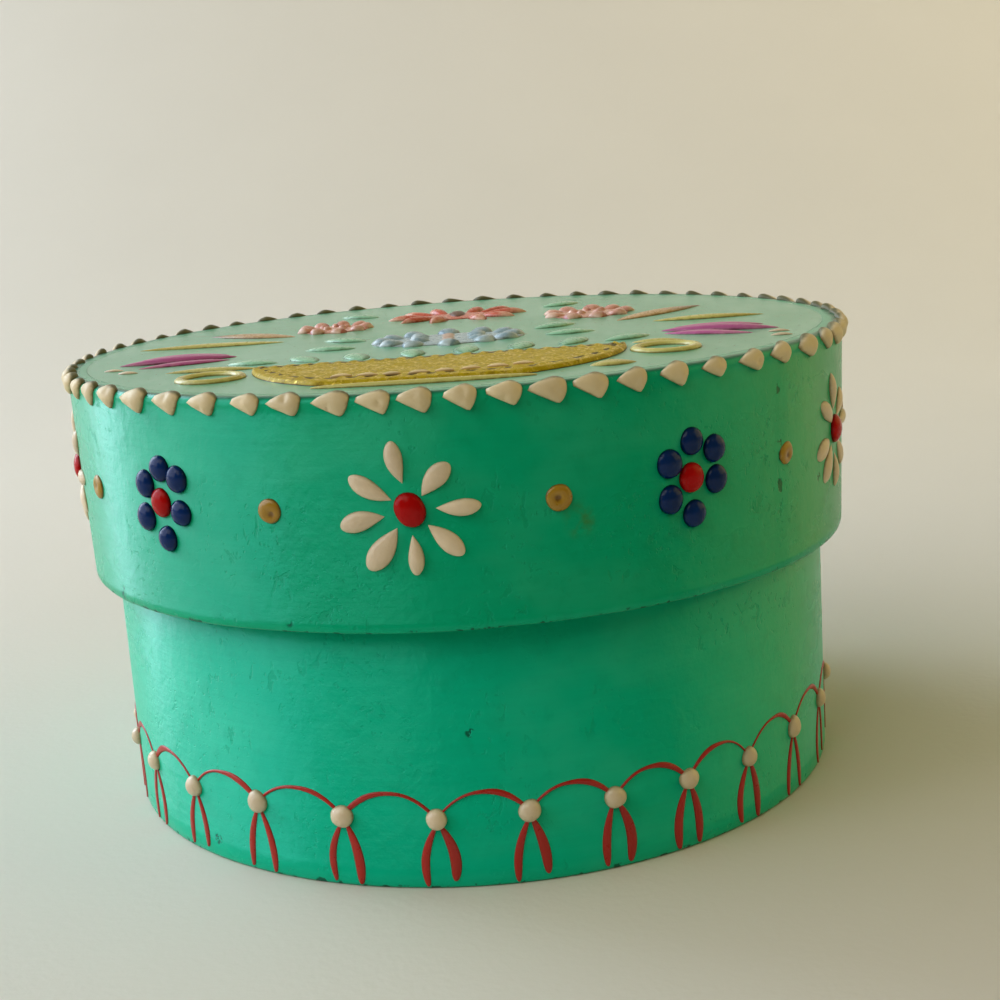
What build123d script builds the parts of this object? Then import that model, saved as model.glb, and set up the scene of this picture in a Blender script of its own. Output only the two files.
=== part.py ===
from build123d import *
import math
import os

# A round bentwood box with a lift-off lid, painted and trimmed with raised dabs of paint.
# Millimetres. Z up, origin on the floor at the middle of the foot, the front faces -Y.
# Angles go round the box from the front, positive towards +X.

# Lid
box_height = 56.3
lid_height = 25.8
lid_radius = 50.0
lid_flare = 0.6
lid_wall = 2.4
lid_board_thickness = 4.0
lid_seam_angle = 46.0

# Body
lid_clearance = 0.4
body_wall = 2.4
base_board_thickness = 4.0
body_seam_angle = 190.0

# Scarf laps of the bent strips
lap_length = 13.0
lap_edge = 0.4
lap_gap = 0.1

# Rounding of the strips' edges
lid_top_rounding = 0.9
lid_foot_rounding = 0.6
body_foot_rounding = 0.5
body_top_rounding = 0.5

# Pegs that hold each board in its strip
peg_radius = 0.8
peg_bite = 5.0
pegs_per_board = 6
first_peg_angle = 21.0

# Drops of paint over the lid's rim
drop_pitch = 5.2
drop_length = 4.1
drop_reach = 2.5
drop_relief = 0.8
drop_fullness = 0.54

# Flowers and dots round the lid's side
flower_pitch = 31.4
first_daisy_angle = -7.0
flower_row_rise = 0.7
petal_count = 8
petal_length = 4.9
petal_width = 2.2
petal_relief = 0.6
petal_fullness = 0.62
daisy_heart_length = 3.9
daisy_heart_width = 3.2
daisy_heart_relief = 1.0
daisy_heart_turn = 115.0
heart_gap = 0.5
blue_dot_count = 6
blue_dot_diameter = 3.1
blue_dot_relief = 1.0
blue_ring_radius = 3.9
blue_heart_diameter = 3.3
blue_heart_relief = 0.9
ochre_dot_diameter = 3.0
ochre_dot_relief = 0.6
ochre_pit_diameter = 0.9

# Beads and red strokes round the body's foot
bead_pitch = 10.45
first_bead_angle = -7.8
bead_height = 8.5
bead_diameter = 2.6
bead_relief = 1.1
stroke_relief = 0.25
arch_rise = 2.9
arch_thickness = 0.8
leg_width = 1.0
leg_gap = 0.1
leg_spread = 1.6
leg_bow = 0.45

# How far a dab's ends run on below the surface that cuts it
dab_root = 0.3

# Flower basket on the lid's top: plan sizes are in hundredths of the board's radius
basket_relief = 0.7
line_relief = 0.5
stitch_relief = 0.4
stitch_count = 8
handle_radius = 7.4
handle_line = 2.6
bloom_relief = 0.8
leaf_relief = 0.5
speck_relief = 0.3

# Sizes that follow from those above
lid_foot_z = box_height - lid_height
lid_foot_radius = lid_radius - lid_flare
lid_slope = lid_flare / lid_height
lid_underside_z = box_height - lid_board_thickness
body_radius = lid_foot_radius - lid_wall - lid_clearance
body_height = lid_underside_z
board_radius = lid_radius - lid_wall
flower_z = (lid_foot_z + box_height) / 2 + flower_row_rise
flower_radius = lid_radius - (box_height - flower_z) * lid_slope
flower_pairs = max(1, round(math.pi * flower_radius / flower_pitch))
drop_count = round(2 * math.pi * lid_radius / drop_pitch)
bead_count = round(2 * math.pi * body_radius / bead_pitch)
unit = board_radius / 100


def lid_radius_at(z):
    """Outer radius of the flared lid at a height."""
    return lid_radius - (box_height - z) * lid_slope


def cone_between(low_z, high_z, low_radius, high_radius):
    """Solid frustum, or a cylinder where both radii are the same."""
    corners = [(0, low_z), (low_radius, low_z), (high_radius, high_z), (0, high_z)]
    section = make_face(Polyline(*corners, close=True))
    return revolve(Plane.XZ * section, Axis.Z)


def edges_at(solid, z, radius):
    """The round edges of a turned solid at one height and radius."""
    found = []
    for edge in solid.edges().filter_by(GeomType.CIRCLE):
        middle = edge.arc_center
        if abs(middle.Z - z) < 0.01 and abs(edge.radius - radius) < 0.01:
            found.append(edge)
    return found


def lid_core():
    """The lid's outside as one full solid with sharp edges."""
    return cone_between(lid_foot_z, box_height, lid_foot_radius, lid_radius)


def lid_envelope():
    """The lid's outside as one full solid, with its rim and open edge rounded."""
    solid = fillet(edges_at(lid_core(), box_height, lid_radius), lid_top_rounding)
    return fillet(edges_at(solid, lid_foot_z, lid_foot_radius), lid_foot_rounding)


def lid_cavity(low_z, high_z):
    """The space inside the lid's strip between two heights."""
    low_radius = lid_radius_at(low_z) - lid_wall
    high_radius = lid_radius_at(high_z) - lid_wall
    return cone_between(low_z, high_z, low_radius, high_radius)


def body_core():
    """The body's outside as one full solid with sharp edges."""
    return cone_between(0, body_height, body_radius, body_radius)


def body_envelope():
    """The body's outside as one full solid, with its foot and top edge rounded."""
    solid = fillet(edges_at(body_core(), 0, body_radius), body_foot_rounding)
    return fillet(edges_at(solid, body_height, body_radius), body_top_rounding)


def round_point(radius, angle):
    """Plan position at an angle from the front."""
    turn = math.radians(angle)
    return (radius * math.sin(turn), -radius * math.cos(turn))


def scarf_cut(seam_angle, outer_radius, inner_radius, low_z, high_z):
    """Thin slanting gap that makes a ring a strip with lapped ends."""
    middle_radius = (outer_radius + inner_radius) / 2
    lap_angle = math.degrees(lap_length / middle_radius)
    tip = round_point(outer_radius, seam_angle)
    heel = round_point(inner_radius, seam_angle + lap_angle)
    halfway = round_point(middle_radius, seam_angle + lap_angle / 2)
    low_tip = round_point(outer_radius - lap_gap, seam_angle)
    low_heel = round_point(inner_radius - lap_gap, seam_angle + lap_angle)
    low_halfway = round_point(middle_radius - lap_gap, seam_angle + lap_angle / 2)
    slope_sides = [
        ThreePointArc(tip, halfway, heel),
        Line(heel, low_heel),
        ThreePointArc(low_heel, low_halfway, low_tip),
        Line(low_tip, tip),
    ]
    slope = make_face(slope_sides)
    edge_step = lap_gap / 2
    outer_slot = radial_slot(seam_angle, outer_radius - lap_gap, outer_radius + lid_wall, edge_step)
    inner_slot = radial_slot(seam_angle + lap_angle, inner_radius - body_wall, inner_radius, edge_step)
    plan = slope + outer_slot + inner_slot
    return Pos(0, 0, low_z) * extrude(plan, high_z - low_z)


def radial_slot(angle, low_radius, high_radius, half_width):
    """Narrow plan rectangle that points at the middle of the box."""
    length = high_radius - low_radius
    slot = Rectangle(2 * half_width, length)
    place = Rot(0, 0, angle) * Pos(0, -(low_radius + length / 2), 0)
    return place * slot


def peg_row(z, outside_radius, wall):
    """Round pegs driven from outside through a strip into its board."""
    length = wall + peg_bite
    pegs = []
    for number in range(pegs_per_board):
        angle = first_peg_angle + number * 360 / pegs_per_board
        peg = Cylinder(peg_radius, length, align=(Align.CENTER, Align.CENTER, Align.MAX))
        pegs.append(side_plane(angle, z, outside_radius) * peg)
    return pegs


def side_plane(angle, z, radius):
    """Plane that touches the side: X along the side, Y up, Z outwards."""
    x, y = round_point(radius, angle)
    turn = math.radians(angle)
    along = (math.cos(turn), math.sin(turn), 0)
    outwards = (math.sin(turn), -math.cos(turn), 0)
    return Plane(origin=(x, y, z), x_dir=along, z_dir=outwards)


def cap_radius(half_span, rise):
    """Radius of the circle that rises by rise over a flat half span."""
    return (half_span ** 2 + rise ** 2) / (2 * rise)


def dab(length, width, relief, fullness):
    """A drop of paint along X on the plane Z = 0, fullest at a share of its length.

    It is a turned spindle that lies below the plane and stands out of it by the relief.
    """
    turned_radius = cap_radius(width / 2, relief)
    axis_depth = turned_radius - relief
    end_radius = max(axis_depth - dab_root, 0)
    drop = turned_radius - end_radius
    full_at = length * fullness
    reach = []
    for run in (full_at, length - full_at):
        arc_radius = cap_radius(run, relief)
        reach.append(math.sqrt(arc_radius ** 2 - (arc_radius - drop) ** 2))
    return Pos(full_at, 0, -axis_depth) * spindle(reach[0], reach[1], turned_radius, end_radius)


def spindle(rear, front, radius, end_radius):
    """A turned shape along X: widest at 0, narrowing by an arc to each end."""
    outline = []
    for side, reach in ((-1, rear), (1, front)):
        drop = radius - end_radius
        arc_radius = cap_radius(reach, drop)
        middle_y = radius - arc_radius + math.sqrt(arc_radius ** 2 - reach ** 2 / 4)
        points = [(side * reach, end_radius), (side * reach / 2, middle_y), (0, radius)]
        outline.append(ThreePointArc(*points))
        if end_radius > 0:
            outline.append(Line((side * reach, end_radius), (side * reach, 0)))
    outline.append(Line((-rear, 0), (front, 0)))
    return revolve(make_face(outline), Axis.X)


def dome(diameter, relief):
    """A round drop of paint on the plane Z = 0: a ball that stands out of it by the relief."""
    ball_radius = cap_radius(diameter / 2, relief)
    return Pos(0, 0, relief - ball_radius) * Sphere(ball_radius)


def oval(length, width, relief):
    """An oval drop of paint on the plane Z = 0, centred, its length along X."""
    return Pos(-length / 2, 0, 0) * dab(length, width, relief, 0.5)


def copies_round(solids, count, first_angle=0.0):
    """Copies of solids drawn at the front, set round the box at an even pitch."""
    copies = []
    for number in range(count):
        turn = Rot(0, 0, first_angle + number * 360 / count)
        for solid in solids:
            copies.append(turn * solid)
    return copies


def single(shape):
    """The one solid of a shape that has been cut."""
    found = shape.solids()
    assert len(found) == 1, f"{len(found)} solids where one was drawn"
    return found[0]


def seated(shape, core):
    """What stands out of a turned core. A cut that takes nothing off is made again with the core
    turned round its own axis, which moves its seam and nothing else.
    """
    for turn in range(0, 90, 15):
        cut = shape - Rot(0, 0, turn) * core
        if cut.volume < shape.volume * 0.99:
            return single(cut)
    raise ValueError("the shape can't be cut by its core")


def write(node, solids):
    """Writes one node: a lone solid, or a group of separate ones."""
    solids = list(solids)
    shape = solids[0] if len(solids) == 1 else Compound(children=solids)
    shape.label = node
    export_step(shape, f"parts/{node}.step")
    print(node, len(solids), "solids")


def make_lid_frame():
    """Strip, board and pegs of the lid."""
    inside = lid_cavity(lid_foot_z, box_height)
    seam = scarf_cut(
        lid_seam_angle,
        lid_foot_radius - lap_edge,
        board_radius + lap_edge,
        lid_foot_z - 1,
        box_height + 1,
    )
    strip = lid_envelope() - inside - seam
    board = lid_cavity(lid_underside_z, box_height)
    peg_z = box_height - lid_board_thickness / 2
    pegs = []
    for peg in peg_row(peg_z, lid_radius, lid_wall):
        pegs.append(single(peg & lid_envelope()))
    for peg in pegs:
        strip -= peg
        board -= peg
    write("lid_band", strip.solids())
    write("lid_board", board.solids())
    write("lid_pegs", pegs)


def make_body_frame():
    """Strip, board and pegs of the body."""
    inner_radius = body_radius - body_wall
    inside = cone_between(0, body_height, inner_radius, inner_radius)
    seam = scarf_cut(
        body_seam_angle,
        body_radius - lap_edge,
        inner_radius + lap_edge,
        -1,
        body_height + 1,
    )
    strip = body_envelope() - inside - seam
    board = cone_between(0, base_board_thickness, inner_radius, inner_radius)
    pegs = []
    for peg in peg_row(base_board_thickness / 2, body_radius, body_wall):
        pegs.append(single(peg & body_envelope()))
    for peg in pegs:
        strip -= peg
        board -= peg
    write("body_band", strip.solids())
    write("base_board", board.solids())
    write("base_pegs", pegs)


def make_rim_drops():
    """Drops that lap over the rim: each is round in section and sits astride the corner."""
    # The circle of this radius stands proud of the corner by the relief and
    # meets both faces at the reach from it.
    reach_share = drop_reach * math.sqrt(2)
    depth = (drop_reach ** 2 - drop_relief ** 2) / (2 * drop_relief + reach_share)
    section_radius = depth + drop_relief
    inset = depth / math.sqrt(2)
    tail = drop_length * drop_fullness
    drop = spindle(tail, drop_length - tail, section_radius, 0)
    place = side_plane(0, box_height - inset, lid_radius - inset)
    drop = place * Pos(tail - drop_length / 2, 0, 0) * drop
    drop = single(drop - lid_envelope())
    write("rim_drops", copies_round([drop], drop_count))


def at_flower(across, up):
    """Plane on the lid's side, a distance across and up from the front flower's heart."""
    z = flower_z + up
    return side_plane(math.degrees(across / flower_radius), z, lid_radius_at(z))


def make_daisies(core):
    """Cream petals round a red heart."""
    first_petal = daisy_heart_length / 2 + heart_gap
    centre = first_petal + petal_length / 2
    petals = []
    for number in range(petal_count):
        turn = number * 360 / petal_count
        across = centre * math.cos(math.radians(turn))
        up = centre * math.sin(math.radians(turn))
        petal = dab(petal_length, petal_width, petal_relief, petal_fullness)
        petal = Pos(-petal_length / 2, 0, 0) * petal
        petal = at_flower(across, up) * Rot(0, 0, turn) * petal
        petals.append(seated(petal, core))
    heart = oval(daisy_heart_length, daisy_heart_width, daisy_heart_relief)
    heart = at_flower(0, 0) * Rot(0, 0, daisy_heart_turn) * heart
    heart = seated(heart, core)
    write("daisy_petals", copies_round(petals, flower_pairs, first_daisy_angle))
    write("daisy_hearts", copies_round([heart], flower_pairs, first_daisy_angle))


def make_blue_flowers(core):
    """Blue dots round a red heart, halfway between the daisies."""
    first_angle = first_daisy_angle + 180 / flower_pairs
    dots = []
    for number in range(blue_dot_count):
        turn = math.radians(90 + number * 360 / blue_dot_count)
        across = blue_ring_radius * math.cos(turn)
        up = blue_ring_radius * math.sin(turn)
        dot = at_flower(across, up) * dome(blue_dot_diameter, blue_dot_relief)
        dots.append(seated(dot, core))
    heart = at_flower(0, 0) * dome(blue_heart_diameter, blue_heart_relief)
    heart = seated(heart, core)
    write("blue_dots", copies_round(dots, flower_pairs, first_angle))
    write("blue_flower_hearts", copies_round([heart], flower_pairs, first_angle))


def make_ochre_dots(core):
    """A dimpled ochre dot between each flower and the next."""
    first_angle = first_daisy_angle + 90 / flower_pairs
    place = at_flower(0, 0)
    dot = place * dome(ochre_dot_diameter, ochre_dot_relief)
    pit = place * Pos(0, 0, ochre_dot_relief) * Sphere(ochre_pit_diameter / 2)
    dot = seated(dot - pit, core)
    write("ochre_dots", copies_round([dot], 2 * flower_pairs, first_angle))


def arch_face(half_span, rise, thickness):
    """Crescent that springs from the middles of two beads."""
    outer = ThreePointArc((-half_span, 0), (0, rise + thickness / 2), (half_span, 0))
    inner = ThreePointArc((-half_span, 0), (0, rise - thickness / 2), (half_span, 0))
    return make_face([outer, inner])


def leg_face(side, top, foot):
    """Bowed stroke from the bead down to the foot, on one side of the bead's middle."""
    half_gap = leg_gap / 2
    outer_top = half_gap + leg_width
    outer_foot = leg_spread + leg_width / 2
    inner_foot = leg_spread - leg_width / 2
    middle = (top + foot) / 2
    outer_middle = (outer_top + outer_foot) / 2 + leg_bow
    inner_middle = (half_gap + inner_foot) / 2 + leg_bow
    outer = ThreePointArc((side * outer_top, top), (side * outer_middle, middle), (side * outer_foot, foot))
    inner = ThreePointArc((side * inner_foot, foot), (side * inner_middle, middle), (side * half_gap, top))
    foot_line = Line((side * outer_foot, foot), (side * inner_foot, foot))
    top_line = Line((side * half_gap, top), (side * outer_top, top))
    return make_face([outer, foot_line, inner, top_line])


def make_foot_border():
    """Beads joined by red arches, and two red legs from each bead to the foot."""
    pitch_angle = 360 / bead_count
    half_pitch = body_radius * math.radians(pitch_angle) / 2
    place = side_plane(0, bead_height, body_radius)
    bead_here = seated(place * dome(bead_diameter, bead_relief), body_core())
    bead_next = Rot(0, 0, pitch_angle) * bead_here

    skin_radius = body_radius + stroke_relief
    skin = cone_between(body_foot_rounding, lid_foot_z, skin_radius, skin_radius)
    skin -= cone_between(body_foot_rounding, lid_foot_z, body_radius, body_radius)

    arch_place = side_plane(pitch_angle / 2, bead_height, body_radius)
    arch_plan = arch_place * arch_face(half_pitch, arch_rise, arch_thickness)
    arch = extrude(arch_plan, bead_relief, both=True) & skin
    arch = single(arch - bead_here - bead_next)

    legs = []
    for side in (-1, 1):
        leg_plan = place * leg_face(side, -bead_diameter * 0.3, -bead_height)
        leg = extrude(leg_plan, bead_relief, both=True) & skin
        legs.append(single(leg - bead_here))

    write("foot_beads", copies_round([bead_here], bead_count, first_bead_angle))
    write("foot_arches", copies_round([arch], bead_count, first_bead_angle))
    write("foot_legs", copies_round(legs, bead_count, first_bead_angle))


def on_top(x, y, turn, shape, floor_z=0.0):
    """Sets a shape on the lid's top, or on a floor above it, and cuts off what is below."""
    place = Pos(x * unit, y * unit, box_height + floor_z) * Rot(0, 0, turn)
    floor = Plane.XY.offset(box_height + floor_z)
    return single(split(place * shape, bisect_by=floor, keep=Keep.TOP))


def leaf(x, y, turn, length, width, relief=leaf_relief, fullness=0.5):
    """A leaf or petal on the lid's top that starts at a place and points along a turn."""
    return on_top(x, y, turn, dab(length * unit, width * unit, relief, fullness))


def petal_ring(x, y, inner, length, width, count, stretch=1.0, first_turn=0.0):
    """Petals that point away from a place, the ring drawn wider than it is deep by a stretch."""
    petals = []
    for number in range(count):
        turn = math.radians(first_turn + number * 360 / count)
        start_x = x + inner * stretch * math.cos(turn)
        start_y = y + inner * math.sin(turn)
        away = math.degrees(math.atan2(math.sin(turn), stretch * math.cos(turn)))
        petals.append(leaf(start_x, start_y, away, length, width, bloom_relief, 0.6))
    return petals


def raised_plate(sides, relief):
    """A raised flat patch on the lid's top, from its outline."""
    return single(Pos(0, 0, box_height) * extrude(make_face(sides), relief))


def at(x, y):
    """A point of the picture in millimetres."""
    return (x * unit, y * unit)


def make_basket():
    """Bowl-shaped basket with its foot line, stitches and looped handles."""
    brim_left, brim_right = at(-51, -48), at(42, -50)
    floor_left, floor_middle, floor_right = at(-33, -83), at(-8, -87), at(16, -87)
    outline = [
        Line(brim_left, brim_right),
        ThreePointArc(brim_right, at(35, -71), floor_right),
        ThreePointArc(floor_right, floor_middle, floor_left),
        ThreePointArc(floor_left, at(-46, -67), brim_left),
    ]
    write("basket", [raised_plate(outline, basket_relief)])

    foot_outline = [
        ThreePointArc(at(-33, -85.5), at(-8, -89.2), at(17, -89)),
        Line(at(17, -89), at(18, -91.4)),
        ThreePointArc(at(18, -91.4), at(-8, -91.7), at(-34, -88)),
        Line(at(-34, -88), at(-33, -85.5)),
    ]
    write("basket_foot", [raised_plate(foot_outline, line_relief)])

    stitches = []
    for number in range(stitch_count):
        along = number / (stitch_count - 1)
        x = -27 + 42 * along
        y = -78 - 3 * math.sin(math.pi * along)
        stitch = oval(4.2 * unit, 1.8 * unit, stitch_relief)
        stitches.append(on_top(x, y, 0, stitch, basket_relief))
    write("basket_stitches", stitches)

    handles = []
    for x, y in ((-60, -57.5), (50.5, -60)):
        ring = Circle(handle_radius * unit) - Circle((handle_radius - handle_line) * unit)
        loop = Pos(x * unit, y * unit, box_height) * extrude(ring, line_relief)
        handles.append(single(loop))
    write("basket_handles", handles)


def make_blooms():
    """The blue rose, two pink roses and the red carnation."""
    rose = petal_ring(-2, -8, 8.5, 7.5, 5.9, 12, 1.6)
    for facing, turn in ((-1, 180), (1, 0)):
        for side in (-1, 0, 1):
            start_x = -2 + facing * 4.4
            start_y = -8 + side * 4.4
            rose.append(leaf(start_x, start_y, turn + facing * side * 9, 6.2, 3.4, bloom_relief, 0.6))
    write("blue_rose", rose)
    stamens = []
    for number in range(4):
        stamens.append(leaf(-4.8, -13.1 + number * 3.4, 0, 5.4, 2, speck_relief))
    write("rose_stamens", stamens)

    pink = []
    for x, y, size in ((-36, 38, 0.9), (40, 33, 1.05)):
        pink += petal_ring(x, y, 6.6 * size, 6.6 * size, 5.6 * size, 9)
        pink += petal_ring(x, y, 1.6 * size, 4.4 * size, 3 * size, 5, 1, 20)
    write("pink_roses", pink)

    carnation = []
    for facing, turn in ((-1, 180), (1, 0)):
        for spread, length in ((-64, 11), (-32, 13), (0, 14), (32, 13), (64, 11)):
            away = turn + facing * spread
            start_x = 1 + 7.5 * math.cos(math.radians(away))
            start_y = 52 + 6.5 * math.sin(math.radians(away))
            carnation.append(leaf(start_x, start_y, away, length, 4.4, bloom_relief, 0.6))
    write("red_carnation", carnation)
    write("carnation_cup", [leaf(1, 58.5, -90, 13, 5.4, leaf_relief, 0.4)])


def make_tulips():
    """A magenta tulip at each side, each a long petal between two shorter ones."""
    petals = []
    for x, y, turn in ((-59, -14, 188), (54, -25, -19)):
        petals.append(leaf(x, y, turn, 31, 6, bloom_relief))
        away = math.radians(turn)
        for side in (-1, 1):
            start_x = x + 2 * math.cos(away) - side * 5.6 * math.sin(away)
            start_y = y + 2 * math.sin(away) + side * 5.6 * math.cos(away)
            petals.append(leaf(start_x, start_y, turn + side * 9, 24, 4.4, leaf_relief))
    write("magenta_tulips", petals)


def make_leaves():
    """Tan, yellow and mint leaves round the blooms, and small pale specks by the rim."""
    write("tan_leaves", [leaf(-47, 26, 150, 31, 6), leaf(46, 8, 43, 38, 6)])
    yellow = [
        leaf(-49, 14, 176, 42, 5),
        leaf(55, 0, -3, 31, 5),
        leaf(-50, -42.5, 174, 24, 4),
        leaf(44, -45, -20, 15, 3),
        leaf(30, -82, 8, 11, 6),
    ]
    write("yellow_leaves", yellow)
    mint = []
    for x, y, turn in (
        (-46, -34, 165),
        (-36, -38, 120),
        (-24, -41, 105),
        (-11, -42, 95),
        (2, -42, 85),
        (15, -42, 75),
        (27, -40, 60),
        (38, -37, 28),
        (-27, -14, 172),
        (-25, 1, 150),
        (24, -14, 8),
        (22, 2, 30),
        (-24, 66, 150),
        (28, 62, 30),
    ):
        mint.append(leaf(x, y, turn, 14, 6.4))
    write("mint_leaves", mint)
    specks = []
    for x, y in ((-92, -27), (-87, -34), (79, -42), (78, -50)):
        specks.append(leaf(x, y, -10, 5.5, 2, speck_relief))
    write("pale_specks", specks)


def main():
    """Makes and writes every piece of the box."""
    os.makedirs("parts", exist_ok=True)
    make_body_frame()
    make_foot_border()
    make_lid_frame()
    make_rim_drops()
    core = lid_core()
    make_daisies(core)
    make_blue_flowers(core)
    make_ochre_dots(core)
    make_basket()
    make_blooms()
    make_tulips()
    make_leaves()


main()
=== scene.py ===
"""Looks of a round bentwood box with a lift-off lid, painted green and trimmed with raised paint."""

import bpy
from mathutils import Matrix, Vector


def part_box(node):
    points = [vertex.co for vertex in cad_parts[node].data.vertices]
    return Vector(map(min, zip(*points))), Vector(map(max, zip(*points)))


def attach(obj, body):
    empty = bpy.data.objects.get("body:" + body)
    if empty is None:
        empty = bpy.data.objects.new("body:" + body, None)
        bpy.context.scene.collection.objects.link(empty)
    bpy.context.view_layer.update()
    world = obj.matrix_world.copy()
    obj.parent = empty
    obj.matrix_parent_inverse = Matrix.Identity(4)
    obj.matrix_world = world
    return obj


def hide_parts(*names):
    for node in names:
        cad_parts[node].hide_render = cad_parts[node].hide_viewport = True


bl_info = {
    "name": "Painted bentwood box",
    "version": (1, 0, 0),
    "blender": (4, 5, 0),
    "location": "View3D > Sidebar > Painted Box",
    "description": "Strips, boards, raised paint flowers and stage of a painted bentwood box",
    "category": "Object",
}

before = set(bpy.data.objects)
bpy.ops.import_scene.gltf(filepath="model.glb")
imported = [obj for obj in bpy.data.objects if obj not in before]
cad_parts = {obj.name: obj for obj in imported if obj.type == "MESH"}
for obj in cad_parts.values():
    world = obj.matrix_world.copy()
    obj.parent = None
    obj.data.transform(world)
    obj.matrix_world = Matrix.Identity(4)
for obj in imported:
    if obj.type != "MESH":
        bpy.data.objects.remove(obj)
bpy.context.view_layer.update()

import math
import random

import bmesh
import bpy
from bpy.props import FloatProperty, FloatVectorProperty, IntProperty, PointerProperty
from mathutils import Matrix, Vector, noise

MM = 0.001
BOX = "box"
LID = "lid"

# Sizes of the wooden frame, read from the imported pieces
LID_LOW, LID_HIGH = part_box("lid_band")
LID_FOOT = LID_LOW[2]
LID_RADIUS = LID_HIGH[0]
LID_TOP = LID_HIGH[2]
BODY_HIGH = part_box("body_band")[1]
BODY_RADIUS = BODY_HIGH[0]
BODY_TOP = BODY_HIGH[2]
BOARD_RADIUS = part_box("lid_board")[1][0]
BODY_INNER_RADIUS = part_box("base_board")[1][0]
STRIP_WALL = LID_RADIUS - BOARD_RADIUS

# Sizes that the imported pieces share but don't tell
LID_FLARE = 0.6 * MM
RIM_ROUNDING = 0.9 * MM
FLOWER_ROW = (LID_FOOT + LID_TOP) / 2 + 0.7 * MM

# Where the body's strip ends at the back, and where its paint has split
BODY_SEAM = math.radians(190)
BODY_SPLIT = math.radians(170)

# A hundredth of the board's radius, in which the picture on the lid is drawn
UNIT = BOARD_RADIUS / 100

# How far a strip's lapped end takes to thin out, in radians, and how high its foot is worn
LAP_TAPER = 0.28
WEAR_HEIGHT = 2 * MM

# Roughness of the strips' paint, the board's paint, bare wood and the gloss over some dabs
PAINT_ROUGHNESS = 0.28
BOARD_ROUGHNESS = 0.24
WOOD_ROUGHNESS = 0.62
COAT_ROUGHNESS = 0.12


def srgb(red, green, blue):
    """Linear colour of a colour as a screen shows it, each part from 0 to 255."""
    parts = []
    for part in (red, green, blue):
        share = part / 255
        parts.append(share / 12.92 if share <= 0.04045 else ((share + 0.055) / 1.055) ** 2.4)
    return tuple(parts)


def length_prop(name, description, default):
    """A size that a user may change."""
    return FloatProperty(
        name=name, description=description, default=default, min=0.0, unit="LENGTH", precision=5
    )


def angle_prop(name, description, default):
    """An angle in radians that a user may change."""
    return FloatProperty(name=name, description=description, default=default, subtype="ANGLE")


def power_prop(name, description, default):
    """A lamp's power that a user may change."""
    return FloatProperty(name=name, description=description, default=default, unit="POWER")


def colour_prop(name, description, red, green, blue):
    """A paint colour that a user may change."""
    return FloatVectorProperty(
        name=name, description=description, subtype="COLOR", size=3, min=0.0, max=1.0,
        default=srgb(red, green, blue),
    )


class StripSettings(bpy.types.PropertyGroup):
    """Sizes of the two bent strips."""

    steps: IntProperty(name="Steps round", description="Faces round each strip", default=256, min=60)
    swell: length_prop("Out of round", "How far the strips swell out of the true round", 0.12 * MM)
    edge_wear: length_prop("Edge wear", "How far the lid's open edge is worn up", 0.22 * MM)
    lap_step: length_prop("Lap step", "How far the strip's lapped end stands out", 0.12 * MM)
    lap_angle: angle_prop("Lap angle", "Where the lid's strip ends, round from the front", math.radians(46))


class DropSettings(bpy.types.PropertyGroup):
    """Sizes of the drops over the lid's rim."""

    count: IntProperty(name="Drops", description="Drops round the rim", default=60, min=3)
    size: length_prop("Size", "From a drop's middle to its right side", 1.62 * MM)
    hang: length_prop("Hang", "How far a drop's middle sits below the rim's corner", 0.45 * MM)
    relief: length_prop("Relief", "How far a drop stands out of the rim", 0.87 * MM)


class FlowerSettings(bpy.types.PropertyGroup):
    """Sizes of the flowers and dots round the lid's side."""

    pairs: IntProperty(name="Pairs", description="Daisies round the lid", default=5, min=1)
    first_angle: angle_prop("First daisy", "Where it stands, round from the front", math.radians(-7))
    petal_relief: length_prop("Petal relief", "How far a petal stands out", 0.6 * MM)
    heart_length: length_prop("Heart length", "Length of a daisy's heart", 3.9 * MM)
    heart_width: length_prop("Heart width", "Width of a daisy's heart", 3.3 * MM)
    heart_relief: length_prop("Heart relief", "How far a heart stands out", 0.95 * MM)
    dot: length_prop("Blue dot", "Diameter of a blue dot", 3.1 * MM)
    dot_relief: length_prop("Blue dot relief", "How far a blue dot stands out", 0.95 * MM)
    ochre_dot: length_prop("Ochre dot", "Diameter of an ochre dot", 3.0 * MM)
    ochre_relief: length_prop("Ochre dot relief", "How far an ochre dot stands out", 0.55 * MM)


class BorderSettings(bpy.types.PropertyGroup):
    """Sizes of the beads and red strokes round the foot."""

    count: IntProperty(name="Beads", description="Beads round the foot", default=28, min=3)
    height: length_prop("Bead height", "Height of the beads' middles", 8.5 * MM)
    bead: length_prop("Bead", "Diameter of a bead", 2.6 * MM)
    bead_relief: length_prop("Bead relief", "How far a bead stands out", 1.05 * MM)
    rise: length_prop("Arch rise", "How far an arch rises between two beads", 2.9 * MM)
    stroke: length_prop("Stroke width", "Width of the arches at their thickest", 0.82 * MM)
    leg: length_prop("Leg width", "Width of the legs", 1.12 * MM)
    relief: length_prop("Stroke relief", "How far the red strokes stand out", 0.16 * MM)


class PictureSettings(bpy.types.PropertyGroup):
    """Sizes of the flower basket on the lid's top."""

    basket_relief: length_prop("Basket relief", "Height of the basket", 0.7 * MM)
    bloom_relief: length_prop("Bloom relief", "Height of the blooms", 0.78 * MM)
    leaf_relief: length_prop("Leaf relief", "Height of the leaves", 0.48 * MM)
    wash_relief: length_prop("Wash relief", "Height of the pools of paint under the blooms", 0.3 * MM)
    line_relief: length_prop("Line relief", "Height of the drawn lines", 0.48 * MM)
    stitch_relief: length_prop("Stitch relief", "How far a stitch stands out of the basket", 0.26 * MM)
    speck_relief: length_prop("Speck relief", "Height of the stamens and specks", 0.28 * MM)


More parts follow.
